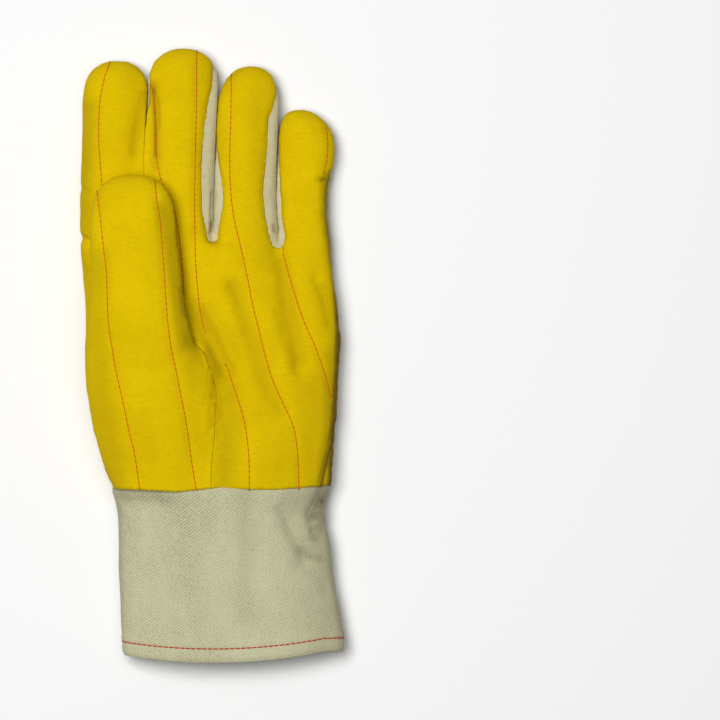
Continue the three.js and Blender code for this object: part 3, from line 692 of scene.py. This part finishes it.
def napped_cotton():
    material, tree, shader = node_tree("napped_yellow_cotton")
    place = add(tree, "ShaderNodeTexCoord").outputs["Object"]
    clouds = noise_of(tree, place, 55, 3)
    clumps = noise_of(tree, place, 1000, 4, 0.65)
    weft = noise_of(tree, mapped(tree, place, (260, 1300, 500)), 1, 3, 0.6)
    fibres = noise_of(tree, mapped(tree, place, (2600, 1500, 2600)), 1, 3, 0.7)
    colour = mix_colour(tree, spread_of(tree, clouds, 0.3, 0.7), YELLOW, YELLOW_LIGHT)
    colour = mix_colour(tree, share_of(tree, weft, 0.42, 0.75, 0.3), colour, YELLOW_DEEP)
    colour = mix_colour(tree, share_of(tree, clumps, 0.42, 0.75, 0.4), colour, YELLOW_DEEP)
    # Painted shade: olive where it is light, brown where it is deep
    shade_amount = patchy_painted_shade(tree, place, 0.25)
    colour = mix_colour(tree, spread_of(tree, shade_amount, 0.0, 0.75), colour, YELLOW_SHADED)
    colour = mix_colour(tree, spread_of(tree, shade_amount, 0.4, 0.95), colour, YELLOW_DEEP_PAINTED_SHADE)
    height = added(tree, times(tree, weft, 0.35), clumps)
    height = added(tree, height, times(tree, fibres, 0.5))
    finish_cloth(tree, shader, colour, height, (0.6, 0.4 * MM), {
        "Roughness": 1.0,
        "Specular IOR Level": 0.04,
        "Sheen Weight": 0.08,
        "Sheen Roughness": 0.6,
        "Sheen Tint": (1, 0.75, 0.02, 1),
    })
    return material


yellow_cotton = napped_cotton()


def carry(mesh, name, values):
    """Stores a number or a vector at each point of a mesh."""
    kind, field = ("FLOAT", "value") if np.ndim(values) == 1 else ("FLOAT_VECTOR", "vector")
    attribute = mesh.attributes.new(name, kind, "POINT")
    attribute.data.foreach_set(field, np.array(values, np.float32).ravel())


def cloth_piece(name, number, wall, material):
    """One cloth piece of the hand: its part of the skin, with the cloth's thickness inside it."""
    part, faces, used = keep_faces(skin, quads, piece_of == number)
    inside = part - normals[used] * wall
    inside[:, 2] = inside[:, 2].clip(wall * 0.9)
    count = len(part)
    part_edges, owner, other = edge_pairs(faces)
    border = other < 0
    rims = []
    for (a, b), face in zip(part_edges[border], owner[border]):
        ring = list(faces[face])
        if ring[(ring.index(a) + 1) % 4] == b:
            a, b = b, a
        rims.append((a, b, b + count, a + count))
    mesh = bpy.data.meshes.new(name)
    all_faces = np.concatenate([faces, faces[:, ::-1] + count, np.array(rims)])
    mesh.from_pydata(np.concatenate([part, inside]).tolist(), [], all_faces.tolist())
    mesh.validate()
    mesh.shade_smooth()
    facing = normals[used] ** 4
    facing /= facing.sum(axis=1)[:, None]
    carry(mesh, "cloth_facing", np.concatenate([facing, facing]))
    # The painted shade goes to both layers of the piece
    carry(mesh, "painted_shade", np.tile(painted_shade[used], 2))
    piece = in_scene(name, mesh)
    piece.data.materials.append(material)
    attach(piece, "root")
    return piece


# The palm.
# One piece of quilted yellow cotton covers the palm and the fronts of the four fingers, and wraps
# round the index side to the back, so that no seam lies on that edge.
HAND_WALL = 2.7 * MM
palm = cloth_piece("yellow_palm", 0, HAND_WALL, yellow_cotton)
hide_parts("palm")

# The back.
# Natural canvas covers the back of the hand and comes round between the fingers as their sides. It
# is undyed plain weave, with the small dark flecks of seed husk that such cotton has.
CANVAS = (0.63, 0.58, 0.36, 1)
CANVAS_SHADE = (0.50, 0.455, 0.265, 1)
# The flecks' dark colour, also used for painted shade
CANVAS_FLECK_AND_SHADE = (0.22, 0.16, 0.07, 1)
YARN = 0.4 * MM


def woven_canvas():
    material, tree, shader = node_tree("natural_canvas")
    place = add(tree, "ShaderNodeTexCoord").outputs["Object"]
    inputs = {"Vector": place, "Scale": 160.0, "Detail": 1.0}
    wobble = add(tree, "ShaderNodeTexNoise", inputs).outputs["Color"]
    bent = add(tree, "ShaderNodeMix", {0: 0.0006, 4: place, 5: wobble}, data_type="VECTOR")
    yarns = []
    for direction in "XYZ":
        inputs = {"Vector": bent.outputs[1], "Scale": 0.314 / YARN / 2, "Distortion": 0.0}
        wave = add(tree, "ShaderNodeTexWave", inputs, wave_type="BANDS", bands_direction=direction)
        yarns.append(wave.outputs["Fac"])
    faced = add(tree, "ShaderNodeAttribute", attribute_name="cloth_facing").outputs["Vector"]
    faced = add(tree, "ShaderNodeSeparateXYZ", {"Vector": faced}).outputs
    weave = 0.0
    for axis in range(3):
        crossed = times(tree, yarns[axis - 1], yarns[axis - 2])
        weave = added(tree, times(tree, crossed, faced[axis]), weave)
    slub = noise_of(tree, mapped(tree, place, (120, 900, 120)), 1, 2)
    flecks = noise_of(tree, place, 700, 2, 0.4)
    blotches = noise_of(tree, place, 330, 3, 0.6)
    colour = mix_colour(tree, spread_of(tree, weave, 0.0, 0.55), CANVAS_SHADE, CANVAS)
    colour = mix_colour(tree, share_of(tree, slub, 0.4, 0.8, 0.3), colour, CANVAS_SHADE)
    colour = mix_colour(tree, share_of(tree, blotches, 0.5, 0.75, 0.5), colour, CANVAS_SHADE)
    colour = mix_colour(tree, share_of(tree, flecks, 0.7, 0.76, 0.5), colour, CANVAS_FLECK_AND_SHADE)
    # Painted shade, in the flecks' dark colour, in the slits and hollows between the fingers
    shade_amount = add(tree, "ShaderNodeAttribute", attribute_name="painted_shade").outputs["Fac"]
    colour = mix_colour(tree, times(tree, shade_amount, 0.8), colour, CANVAS_FLECK_AND_SHADE)
    height = added(tree, weave, times(tree, slub, 0.6))
    finish_cloth(tree, shader, colour, height, (0.45, 0.25 * MM), {
        "Roughness": 0.92, "Specular IOR Level": 0.2, "Sheen Weight": 0.15,
    })
    return material


canvas = woven_canvas()
back = cloth_piece("canvas_back", 1, HAND_WALL, canvas)
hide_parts("back")

# The thumb.
# Two pieces of the same quilted yellow cotton, sewn together round the thumb's edge. The front one
# runs on down over the ball of the thumb to the wrist, where its seam crosses the palm.
thumb_front = cloth_piece("yellow_thumb_front", 2, HAND_WALL, yellow_cotton)
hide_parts("thumb_front")
thumb_back = cloth_piece("yellow_thumb_back", 3, HAND_WALL, yellow_cotton)
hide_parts("thumb_back")

# The cuff.
# A straight tube of natural twill, doubled, is sewn to the hand at the wrist. Its mouth is turned in
# and topstitched, and it has the soft dents of cloth that has been folded flat.
CUFF_LOW, CUFF_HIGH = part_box("cuff")
CUFF_TOP = WRIST_Y - 0.05 * MM
CUFF_LENGTH = CUFF_TOP - CUFF_LOW[1]
CUFF_WIDTH = 110 * MM
CUFF_WALL = 2.3 * MM
HEM_SAG = 5.5 * MM
HEM_HEIGHT = 9.8 * MM
HEM_EXTRA = 0.8 * MM
STITCH_ROW = 6.6 * MM
CUFF_AROUND = 300
CUFF_ALONG = 112
ROUND_EASING = 25
ALONG_EASING = 40
CUFF_MIDDLE = (8 * MM, 15 * MM)
# The rounded box whose sides the rays towards the cuff's middle start from: width to height, power
CUFF_FLATNESS = 3.6
CUFF_POWER = 2.6
# Folds: points in millimetres, half width and rise in millimetres
CUFF_FOLDS = (
    (((-31, -68), (-31, -90), (-29, -128)), 6, -1.1),
    (((-18, -72), (-17, -120)), 9, 0.5),
    (((18, -68), (18, -92), (16, -128)), 5.5, -1.6),
    (((-46, -71), (-22, -72)), 4, -1.3),
    (((27, -66), (31, -80), (38, -100)), 5, 0.7),
    (((54, -68), (51, -74), (48, -79)), 3.2, -2.4),
    (((56, -84), (52, -85.5), (49, -87)), 2.4, -1.7),
    (((53, -79.5), (56, -81)), 2.0, 0.8),
    (((45, -96), (49, -99.5), (53, -101)), 2.6, -0.9),
    (((33, -75), (40, -88), (45, -102)), 3.2, -1.3),
    (((45, -82), (49, -93)), 2.4, 0.8),
    (((57, -104), (56, -118)), 3.0, -0.7),
    (((-52, -74), (-45, -79), (-41, -88)), 2.5, -0.8),
)
# Places with painted shade: points and half width in millimetres, and how dark the painted shade is
CUFF_PAINTED_SHADE_PLACES = (
    (((55.5, -70), (52.5, -75), (50.5, -79)), 4.6, 0.95),
    (((51, -70), (49, -82)), 6.5, 0.4),
    (((56.5, -70), (57, -84)), 3.2, 0.7),
    (((55, -86), (52, -87), (49, -90)), 4.4, 0.55),
    (((44, -96), (49, -100), (54, -101.5)), 3.4, 0.5),
    (((52, -68), (53, -98)), 9, 0.28),
    (((57, -86), (59.5, -105), (62.5, -125), (66, -148)), 4.2, 0.5),
    (((45, -70), (48, -90), (52, -120), (54, -148)), 11, 0.22),
    (((33, -75), (40, -88), (45, -102)), 3, 0.14),
    (((18, -68), (18, -92), (17, -128)), 5, 0.14),
    (((-46, -68), (-22, -69)), 6, 0.26),
    (((-47, -68), (-45, -100), (-46, -148)), 1.6, 0.2),
)
# What the stitches, the hem's mouth, the wrist seam and the narrow waist draw in: depth and reach
STITCH_DRAW = (0.55 * MM, 1.2 * MM)
MOUTH_DRAW = (1.0 * MM, 1.3 * MM)
WRIST_DRAW = (WRIST_DEPTH, 1.5 * MM)
WAIST_DRAW = (0.8 * MM, 9 * MM)
WAIST_BELOW_WRIST = 15 * MM
# As for the hand: height, size and seed
CUFF_UNEVEN = ((0.5, 20, 4.2), (0.14, 5, 9.3))
HEM_PUCKERS = (0.22, 2.6, 6.6)
TOP_PUCKERS = (0.35, 4, 2.2)


def cuff_outline():
    """Rings of the CAD cuff's outside with its sag taken out, as an array of [along, around, xyz]."""
    bm = merged_copy("cuff")
    for v in bm.verts:
        sag = HEM_SAG * min((2 * v.co.x / CUFF_WIDTH) ** 2, 1)
        v.co.y = CUFF_LOW[1] + (v.co.y - CUFF_LOW[1] - sag) / (1 - sag / CUFF_LENGTH)
    tree = BVHTree.FromBMesh(bm)
    bm.free()
    rings = np.zeros((CUFF_ALONG, CUFF_AROUND, 3))
    shape = 2 / CUFF_POWER
    for i in range(CUFF_ALONG):
        y = CUFF_LOW[1] + CUFF_LENGTH * i / (CUFF_ALONG - 1)
        solid_y = min(max(y, CUFF_LOW[1] + 0.2 * MM), CUFF_HIGH[1] - 0.2 * MM)
        middle = Vector((CUFF_MIDDLE[0], solid_y, CUFF_MIDDLE[1]))
        for k in range(CUFF_AROUND):
            turn = 2 * math.pi * k / CUFF_AROUND
            c, s = math.cos(turn), math.sin(turn)
            wide = CUFF_FLATNESS * math.copysign(abs(c) ** shape, c)
            way = Vector((wide, 0, math.copysign(abs(s) ** shape, s)))
            way.normalize()
            rings[i, k] = tree.ray_cast(middle + way * 0.2, -way)[0]
        rings[i, :, 1] = y
    return rings


rings = cuff_outline()
hem_rows = rings[:, 0, 1] < CUFF_LOW[1] + HEM_HEIGHT
across = rings[:, :, [0, 2]] - np.array(CUFF_MIDDLE)
length = np.linalg.norm(across, axis=2, keepdims=True)
across *= 1 - np.where(hem_rows[:, None, None], HEM_EXTRA, 0) / length
rings[:, :, [0, 2]] = across + np.array(CUFF_MIDDLE)
for _ in range(ROUND_EASING):
    rings = (np.roll(rings, 1, axis=1) + 2 * rings + np.roll(rings, -1, axis=1)) / 4
for _ in range(ALONG_EASING):
    rings[1:-1] = (rings[:-2] + 2 * rings[1:-1] + rings[2:]) / 4

cuff_points = rings.reshape(-1, 3)
around, along = np.meshgrid(np.arange(CUFF_AROUND), np.arange(CUFF_ALONG))
ring_next = (around + 1) % CUFF_AROUND
cell = along[:-1] * CUFF_AROUND
cuff_quads = np.stack(
    [cell + around[:-1], cell + ring_next[:-1],
     cell + CUFF_AROUND + ring_next[:-1], cell + CUFF_AROUND + around[:-1]], axis=-1
).reshape(-1, 4)[:, ::-1]
cuff_normals = point_normals(cuff_points, cuff_quads)
if (cuff_normals[:, 2] * (cuff_points[:, 2] - CUFF_MIDDLE[1])).sum() < 0:
    cuff_quads = cuff_quads[:, ::-1]
    cuff_normals = -cuff_normals

from_hem = cuff_points[:, 1] - CUFF_LOW[1]
x, y, z = cuff_points.T
rise = HEM_EXTRA * 0.8 / (1 + np.exp((from_hem - HEM_HEIGHT) / (0.35 * MM)))
from_wrist = CUFF_LENGTH - from_hem
for (depth, reach), distance, there in (
    (STITCH_DRAW, from_hem - STITCH_ROW, 1),
    (MOUTH_DRAW, from_hem, 1),
    (WRIST_DRAW, from_wrist, 1),
    (WAIST_DRAW, from_wrist - WAIST_BELOW_WRIST, cuff_normals[:, 0].clip(0, 1)),
):
    rise -= depth * dip(distance, reach) * there
rise += folded(x, y, CUFF_FOLDS) * (cuff_normals[:, 2] + 0.2).clip(0, 1)
for unevenness in CUFF_UNEVEN:
    rise += uneven(cuff_points, *unevenness)
rise += uneven(cuff_points * np.array((1, 0.35, 1)), *HEM_PUCKERS) * dip(from_hem - 4 * MM, 5 * MM)
rise += uneven(cuff_points * np.array((1, 0.3, 1)), *TOP_PUCKERS) * dip(from_wrist, 8 * MM)
cuff_outer = cuff_points + cuff_normals * rise[:, None]
cuff_inner = cuff_points - cuff_normals * CUFF_WALL


def sagged(points):
    sag = HEM_SAG * ((2 * points[:, 0] / CUFF_WIDTH) ** 2).clip(0, 1)
    points = points.copy()
    points[:, 1] += sag * (1 - (points[:, 1] - CUFF_LOW[1]) / CUFF_LENGTH).clip(0, 1)
    points[:, 1] += wrist_wave(points)
    return points


cuff_outer = sagged(cuff_outer)
cuff_outer[:, 2] = laid_down(cuff_outer[:, 2])
cuff_inner = sagged(cuff_inner)
cuff_inner[:, 2] = cuff_inner[:, 2].clip(CUFF_WALL * 0.9)
count = len(cuff_points)
last = (CUFF_ALONG - 1) * CUFF_AROUND
lips = []
for k in range(CUFF_AROUND):
    n = (k + 1) % CUFF_AROUND
    lips.append((k, n, n + count, k + count))
    lips.append((last + n, last + k, last + k + count, last + n + count))
cuff_faces = np.concatenate([cuff_quads, cuff_quads[:, ::-1] + count, np.array(lips)])
cuff_mesh = bpy.data.meshes.new("twill_cuff")
cuff_mesh.from_pydata(np.concatenate([cuff_outer, cuff_inner]).tolist(), [], cuff_faces.tolist())
cuff_mesh.validate()
cuff_mesh.shade_smooth()

# Painted shade in the dents, down the right side and under the hand's edge at the wrist
cuff_painted_shade = painted_shade_at(x, y, CUFF_PAINTED_SHADE_PLACES) * (cuff_normals[:, 2] + 0.5).clip(0, 1)
carry(cuff_mesh, "painted_shade", np.tile(cuff_painted_shade, 2))

# The cloth's own coordinates: across it round the cuff, and along it from the hem, in metres
girth = np.linalg.norm(np.diff(rings, axis=1, append=rings[:, :1]), axis=2).mean(axis=0)
run_round = np.concatenate([[0], np.cumsum(girth)])
uv = cuff_mesh.uv_layers.new(name="cloth")
corner = np.zeros(len(cuff_mesh.loops), np.int64)
cuff_mesh.loops.foreach_get("vertex_index", corner)
corner %= count
column = corner % CUFF_AROUND
row = corner // CUFF_AROUND
face_columns = column.reshape(-1, 4)
wraps = (face_columns.max(axis=1) - face_columns.min(axis=1)) > CUFF_AROUND // 2
column = np.where(np.repeat(wraps, 4) & (column == 0), CUFF_AROUND, column)
uv_values = np.stack([run_round[column], CUFF_LENGTH * row / (CUFF_ALONG - 1)], axis=1)
uv.data.foreach_set("uv", uv_values.astype(np.float32).ravel())

TWILL = (0.55, 0.535, 0.34, 1)
TWILL_VALLEY = (0.33, 0.315, 0.185, 1)
# Painted shade
TWILL_PAINTED_SHADE = (0.11, 0.085, 0.042, 1)
TWILL_PALE = (0.62, 0.605, 0.405, 1)
RIB_PITCH = 1.25 * MM
RIB_ANGLE = math.radians(-54)


def ribbed_twill():
    material, tree, shader = node_tree("natural_twill")
    cloth = add(tree, "ShaderNodeUVMap", uv_map="cloth").outputs[0]
    place = add(tree, "ShaderNodeTexCoord").outputs["Object"]
    turned = mapped(tree, cloth, (1, 1, 1), (0, 0, RIB_ANGLE))
    inputs = {"Vector": turned, "Scale": 0.314 / RIB_PITCH, "Distortion": 1.3,
              "Detail": 2.0, "Detail Scale": 2.0, "Detail Roughness": 0.6}
    ribs = add(tree, "ShaderNodeTexWave", inputs, wave_type="BANDS", bands_direction="X").outputs["Fac"]
    yarn = noise_of(tree, mapped(tree, turned, (900, 2400, 1)), 1, 2, 0.6)
    slub = noise_of(tree, mapped(tree, cloth, (160, 60, 1)), 1, 3, 0.5)
    clouds = noise_of(tree, place, 35, 2)
    floats = noise_of(tree, mapped(tree, turned, (1400, 700, 1)), 1, 1, 0.4)
    ribs = times(tree, ribs, spread_of(tree, floats, 0.3, 0.62))
    fullness = spread_of(tree, noise_of(tree, mapped(tree, place, (26, 10, 26)), 1, 1), 0.36, 0.6)
    ribs = added(tree, ribs, times(tree, fullness, 0.2))
    colour = mix_colour(tree, spread_of(tree, ribs, 0.0, 0.65), TWILL_VALLEY, TWILL)
    colour = mix_colour(tree, share_of(tree, slub, 0.45, 0.75, 0.25), colour, TWILL_PALE)
    colour = mix_colour(tree, share_of(tree, yarn, 0.45, 0.8, 0.3), colour, TWILL_VALLEY)
    colour = mix_colour(tree, share_of(tree, clouds, 0.35, 0.7, 0.2), colour, TWILL_PALE)
    # Painted shade, broken up into patches
    colour = mix_colour(tree, patchy_painted_shade(tree, place, 0.4), colour, TWILL_PAINTED_SHADE)
    height = added(tree, ribs, times(tree, yarn, 0.7))
    finish_cloth(tree, shader, colour, height, (0.65, 0.25 * MM), {
        "Roughness": 0.9, "Specular IOR Level": 0.2, "Sheen Weight": 0.1,
    })
    return material


cuff = in_scene("twill_cuff", cuff_mesh)
cuff.data.materials.append(ribbed_twill())
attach(cuff, "root")
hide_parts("cuff")

# The thread.
# Orange-red cotton thread makes the quilting rows and a redder one the hem's topstitch. Each stitch
# is a short round-ended length that sinks into the cloth at both ends.
QUILT_THREAD = (0.72, 0.13, 0.002, 1)
HEM_THREAD = (0.60, 0.045, 0.015, 1)
STITCH_PITCH = 2.7 * MM
STITCH_LENGTH = 2.62 * MM
THREAD_WIDTH = 0.46 * MM
THREAD_SINK = 0.05 * MM
HEM_THICKNESS = 1.35
ROW_STEP = 0.8 * MM
LEAST_POINTS = 4


def thread_material(name, colour):
    material, tree, shader = node_tree(name)
    place = add(tree, "ShaderNodeTexCoord").outputs["Object"]
    plies = noise_of(tree, mapped(tree, place, (5000, 2500, 5000)), 1, 2, 0.6)
    dark = tuple(c * 0.55 for c in colour[:3]) + (1,)
    colour = mix_colour(tree, spread_of(tree, plies, 0.35, 0.65), dark, colour)
    values = {"Roughness": 0.8, "Specular IOR Level": 0.15}
    finish_cloth(tree, shader, colour, plies, (0.4, 0.1 * MM), values)
    return material


def stitch_mesh():
    """One stitch along X, fat in the middle and sunk at its ends."""
    stations, sides = 7, 8
    points, faces = [], []
    for i in range(stations):
        t = -1 + 2 * i / (stations - 1)
        radius = THREAD_WIDTH / 2 * math.sqrt(max(1 - 0.86 * t**6, 0.02))
        lift = THREAD_WIDTH * (0.36 - 0.6 * t**4)
        for k in range(sides):
            turn = 2 * math.pi * k / sides
            y, z = radius * math.cos(turn), lift + radius * math.sin(turn)
            points.append((t * STITCH_LENGTH / 2, y, z))
    for i in range(stations - 1):
        for k in range(sides):
            n = (k + 1) % sides
            a, b = i * sides, (i + 1) * sides
            faces.append((a + k, a + n, b + n, b + k))
    faces.append(tuple(reversed(range(sides))))
    faces.append(tuple((stations - 1) * sides + k for k in range(sides)))
    mesh = bpy.data.meshes.new("stitch")
    mesh.from_pydata(points, [], faces)
    mesh.shade_smooth()
    return mesh


stitch = in_scene("stitch", stitch_mesh())


def stitching_tree(material):
    """Stitches at an even pitch along the edges of a mesh whose points carry the cloth's normal."""
    tree = bpy.data.node_groups.new("stitching", "GeometryNodeTree")
    for name, kind, direction in (
        ("Path", "NodeSocketGeometry", "INPUT"),
        ("Pitch", "NodeSocketFloat", "INPUT"),
        ("Stitch", "NodeSocketObject", "INPUT"),
        ("Stitches", "NodeSocketGeometry", "OUTPUT"),
    ):
        tree.interface.new_socket(name, in_out=direction, socket_type=kind)
    source = tree.nodes.new("NodeGroupInput")
    sink = tree.nodes.new("NodeGroupOutput")
    curve = add(tree, "GeometryNodeMeshToCurve", {"Mesh": source.outputs["Path"]})
    inputs = {"Curve": curve.outputs[0], "Length": source.outputs["Pitch"]}
    resample = add(tree, "GeometryNodeResampleCurve", inputs, mode="LENGTH")
    stitch_info = add(tree, "GeometryNodeObjectInfo", {"Object": source.outputs["Stitch"]})
    inputs = {"Name": "cloth_normal"}
    cloth_normal = add(tree, "GeometryNodeInputNamedAttribute", inputs, data_type="FLOAT_VECTOR")
    tangent = add(tree, "GeometryNodeInputTangent")
    along = add(tree, "FunctionNodeAlignRotationToVector", {"Vector": tangent.outputs[0]}, axis="X")
    inputs = {"Rotation": along.outputs[0], "Vector": cloth_normal.outputs[0]}
    upright = add(tree, "FunctionNodeAlignRotationToVector", inputs, axis="Z", pivot_axis="X")
    placed = add(tree, "GeometryNodeInstanceOnPoints", {
        "Points": resample.outputs[0],
        "Instance": stitch_info.outputs["Geometry"],
        "Rotation": upright.outputs[0],
    })
    real = add(tree, "GeometryNodeRealizeInstances", {0: placed.outputs[0]})
    painted = add(tree, "GeometryNodeSetMaterial", {"Geometry": real.outputs[0], "Material": material})
    tree.links.new(painted.outputs[0], sink.inputs[0])
    return tree


def stitched_rows(name, rows, material):
    """A piece made of the stitches along rows of (points, normals)."""
    points, ups, links = [], [], []
    for row_points, row_normals in rows:
        start = len(points)
        points += [tuple(p) for p in row_points]
        ups += [tuple(n) for n in row_normals]
        links += [(start + i, start + i + 1) for i in range(len(row_points) - 1)]
    path = bpy.data.meshes.new(name)
    path.from_pydata(points, links, [])
    carry(path, "cloth_normal", ups)
    piece = in_scene(name, path)
    modifier = piece.modifiers.new("stitching", "NODES")
    tree = stitching_tree(material)
    modifier.node_group = tree
    sockets = {item.name: item.identifier for item in tree.interface.items_tree}
    modifier[sockets["Pitch"]] = STITCH_PITCH
    modifier[sockets["Stitch"]] = stitch
    made = applied(piece)
    piece.modifiers.clear()
    piece.data = made
    made.shade_smooth()
    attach(piece, "root")
    return piece


def laid_row(line, target):
    """A row in plan dropped onto a piece from above: stretches of (points, normals)."""
    tree = BVHTree.FromObject(target, bpy.context.evaluated_depsgraph_get())
    points, ups, stretches = [], [], []
    for (ax, ay), (bx, by) in zip(line, line[1:]):
        steps = max(int(math.hypot(bx - ax, by - ay) * MM / ROW_STEP), 1)
        for i in range(steps):
            t = i / steps
            above = Vector(((ax + (bx - ax) * t) * MM, (ay + (by - ay) * t) * MM, 0.2))
            spot, up, _, _ = tree.ray_cast(above, Vector((0, 0, -1)))
            if spot is None or up.z < LOOKS_UP:
                if len(points) > LEAST_POINTS:
                    stretches.append((points, ups))
                points, ups = [], []
                continue
            points.append(spot + up * THREAD_SINK)
            ups.append(up)
    if len(points) > LEAST_POINTS:
        stretches.append((points, ups))
    return stretches


def rounded_line(line, rounds=3):
    """The line with its corners cut, so that it runs on smoothly."""
    for _ in range(rounds):
        cut = [line[0]]
        for (ax, ay), (bx, by) in zip(line, line[1:]):
            cut.append((0.75 * ax + 0.25 * bx, 0.75 * ay + 0.25 * by))
            cut.append((0.25 * ax + 0.75 * bx, 0.25 * ay + 0.75 * by))
        cut.append(line[-1])
        line = cut
    return line


quilt_thread = thread_material("quilting_thread", QUILT_THREAD)
for name, rows, cloth in (
    ("palm_quilting", PALM_ROWS, palm),
    ("thumb_quilting", THUMB_ROWS, thumb_front),
):
    laid_rows = [part for line in rows for part in laid_row(rounded_line(line), cloth)]
    stitched_rows(name, laid_rows, quilt_thread)

stitch_ring = int(round(STITCH_ROW / CUFF_LENGTH * (CUFF_ALONG - 1)))
hem_spots = cuff_outer.reshape(CUFF_ALONG, CUFF_AROUND, 3)[stitch_ring]
hem_ups = cuff_normals.reshape(CUFF_ALONG, CUFF_AROUND, 3)[stitch_ring]
hem_row = (
    [Vector(p) + Vector(n) * THREAD_SINK for p, n in zip(hem_spots, hem_ups)],
    [Vector(n) for n in hem_ups],
)
hem_thread = thread_material("hem_thread", HEM_THREAD)
stitch.data.transform(Matrix.Diagonal((1, HEM_THICKNESS, HEM_THICKNESS, 1)))
stitched_rows("hem_stitching", [hem_row], hem_thread)
bpy.data.objects.remove(stitch)

# The floor, the lights and the camera.
# A plain pale floor, large soft lights above it, and a camera that looks straight down from far
# away, so that the glove fills the same part of the frame as in the photograph.
FRAME_WIDTH = 352.8 * MM
VIEW_CENTRE = (72 * MM, -2 * MM)
CAMERA_HEIGHT = 4.0
OUTLINE_HEIGHT = 15 * MM

floor_mesh = bpy.data.meshes.new("floor")
floor_mesh.from_pydata([(-4, -4, 0), (4, -4, 0), (4, 4, 0), (-4, 4, 0)], [], [(0, 1, 2, 3)])
floor = in_scene("floor", floor_mesh)
floor_material, _, floor_shader = node_tree("pale_floor")
floor_shader.inputs["Base Color"].default_value = (0.86, 0.86, 0.86, 1)
floor_shader.inputs["Roughness"].default_value = 0.9
floor.data.materials.append(floor_material)


def soft_light(name, place, size, power):
    light = bpy.data.lights.new(name, "AREA")
    light.shape = "SQUARE"
    light.size = size
    light.energy = power
    lamp = in_scene(name, light)
    lamp.location = place
    lamp.rotation_euler = (-Vector(place)).to_track_quat("-Z", "Y").to_euler()


soft_light("key", (-0.4, 0.24, 1.93), 0.8, 31.5)
soft_light("top", (0.1, 0.1, 2.2), 1.2, 12.5)
world = bpy.data.worlds.new("studio")
bpy.context.scene.world = world
world.use_nodes = True
sky = world.node_tree.nodes["Background"]
sky.inputs["Color"].default_value = (1, 1, 1, 1)
sky.inputs["Strength"].default_value = 0.12
bpy.context.scene.view_settings.view_transform = "Standard"

lens = bpy.data.cameras.new("camera")
lens.sensor_width = 36
lens.lens = lens.sensor_width * (CAMERA_HEIGHT - OUTLINE_HEIGHT) / FRAME_WIDTH
lens.clip_end = 20
camera = in_scene("camera", lens)
camera.matrix_world = Matrix.Translation((*VIEW_CENTRE, CAMERA_HEIGHT))
bpy.context.scene.camera = camera
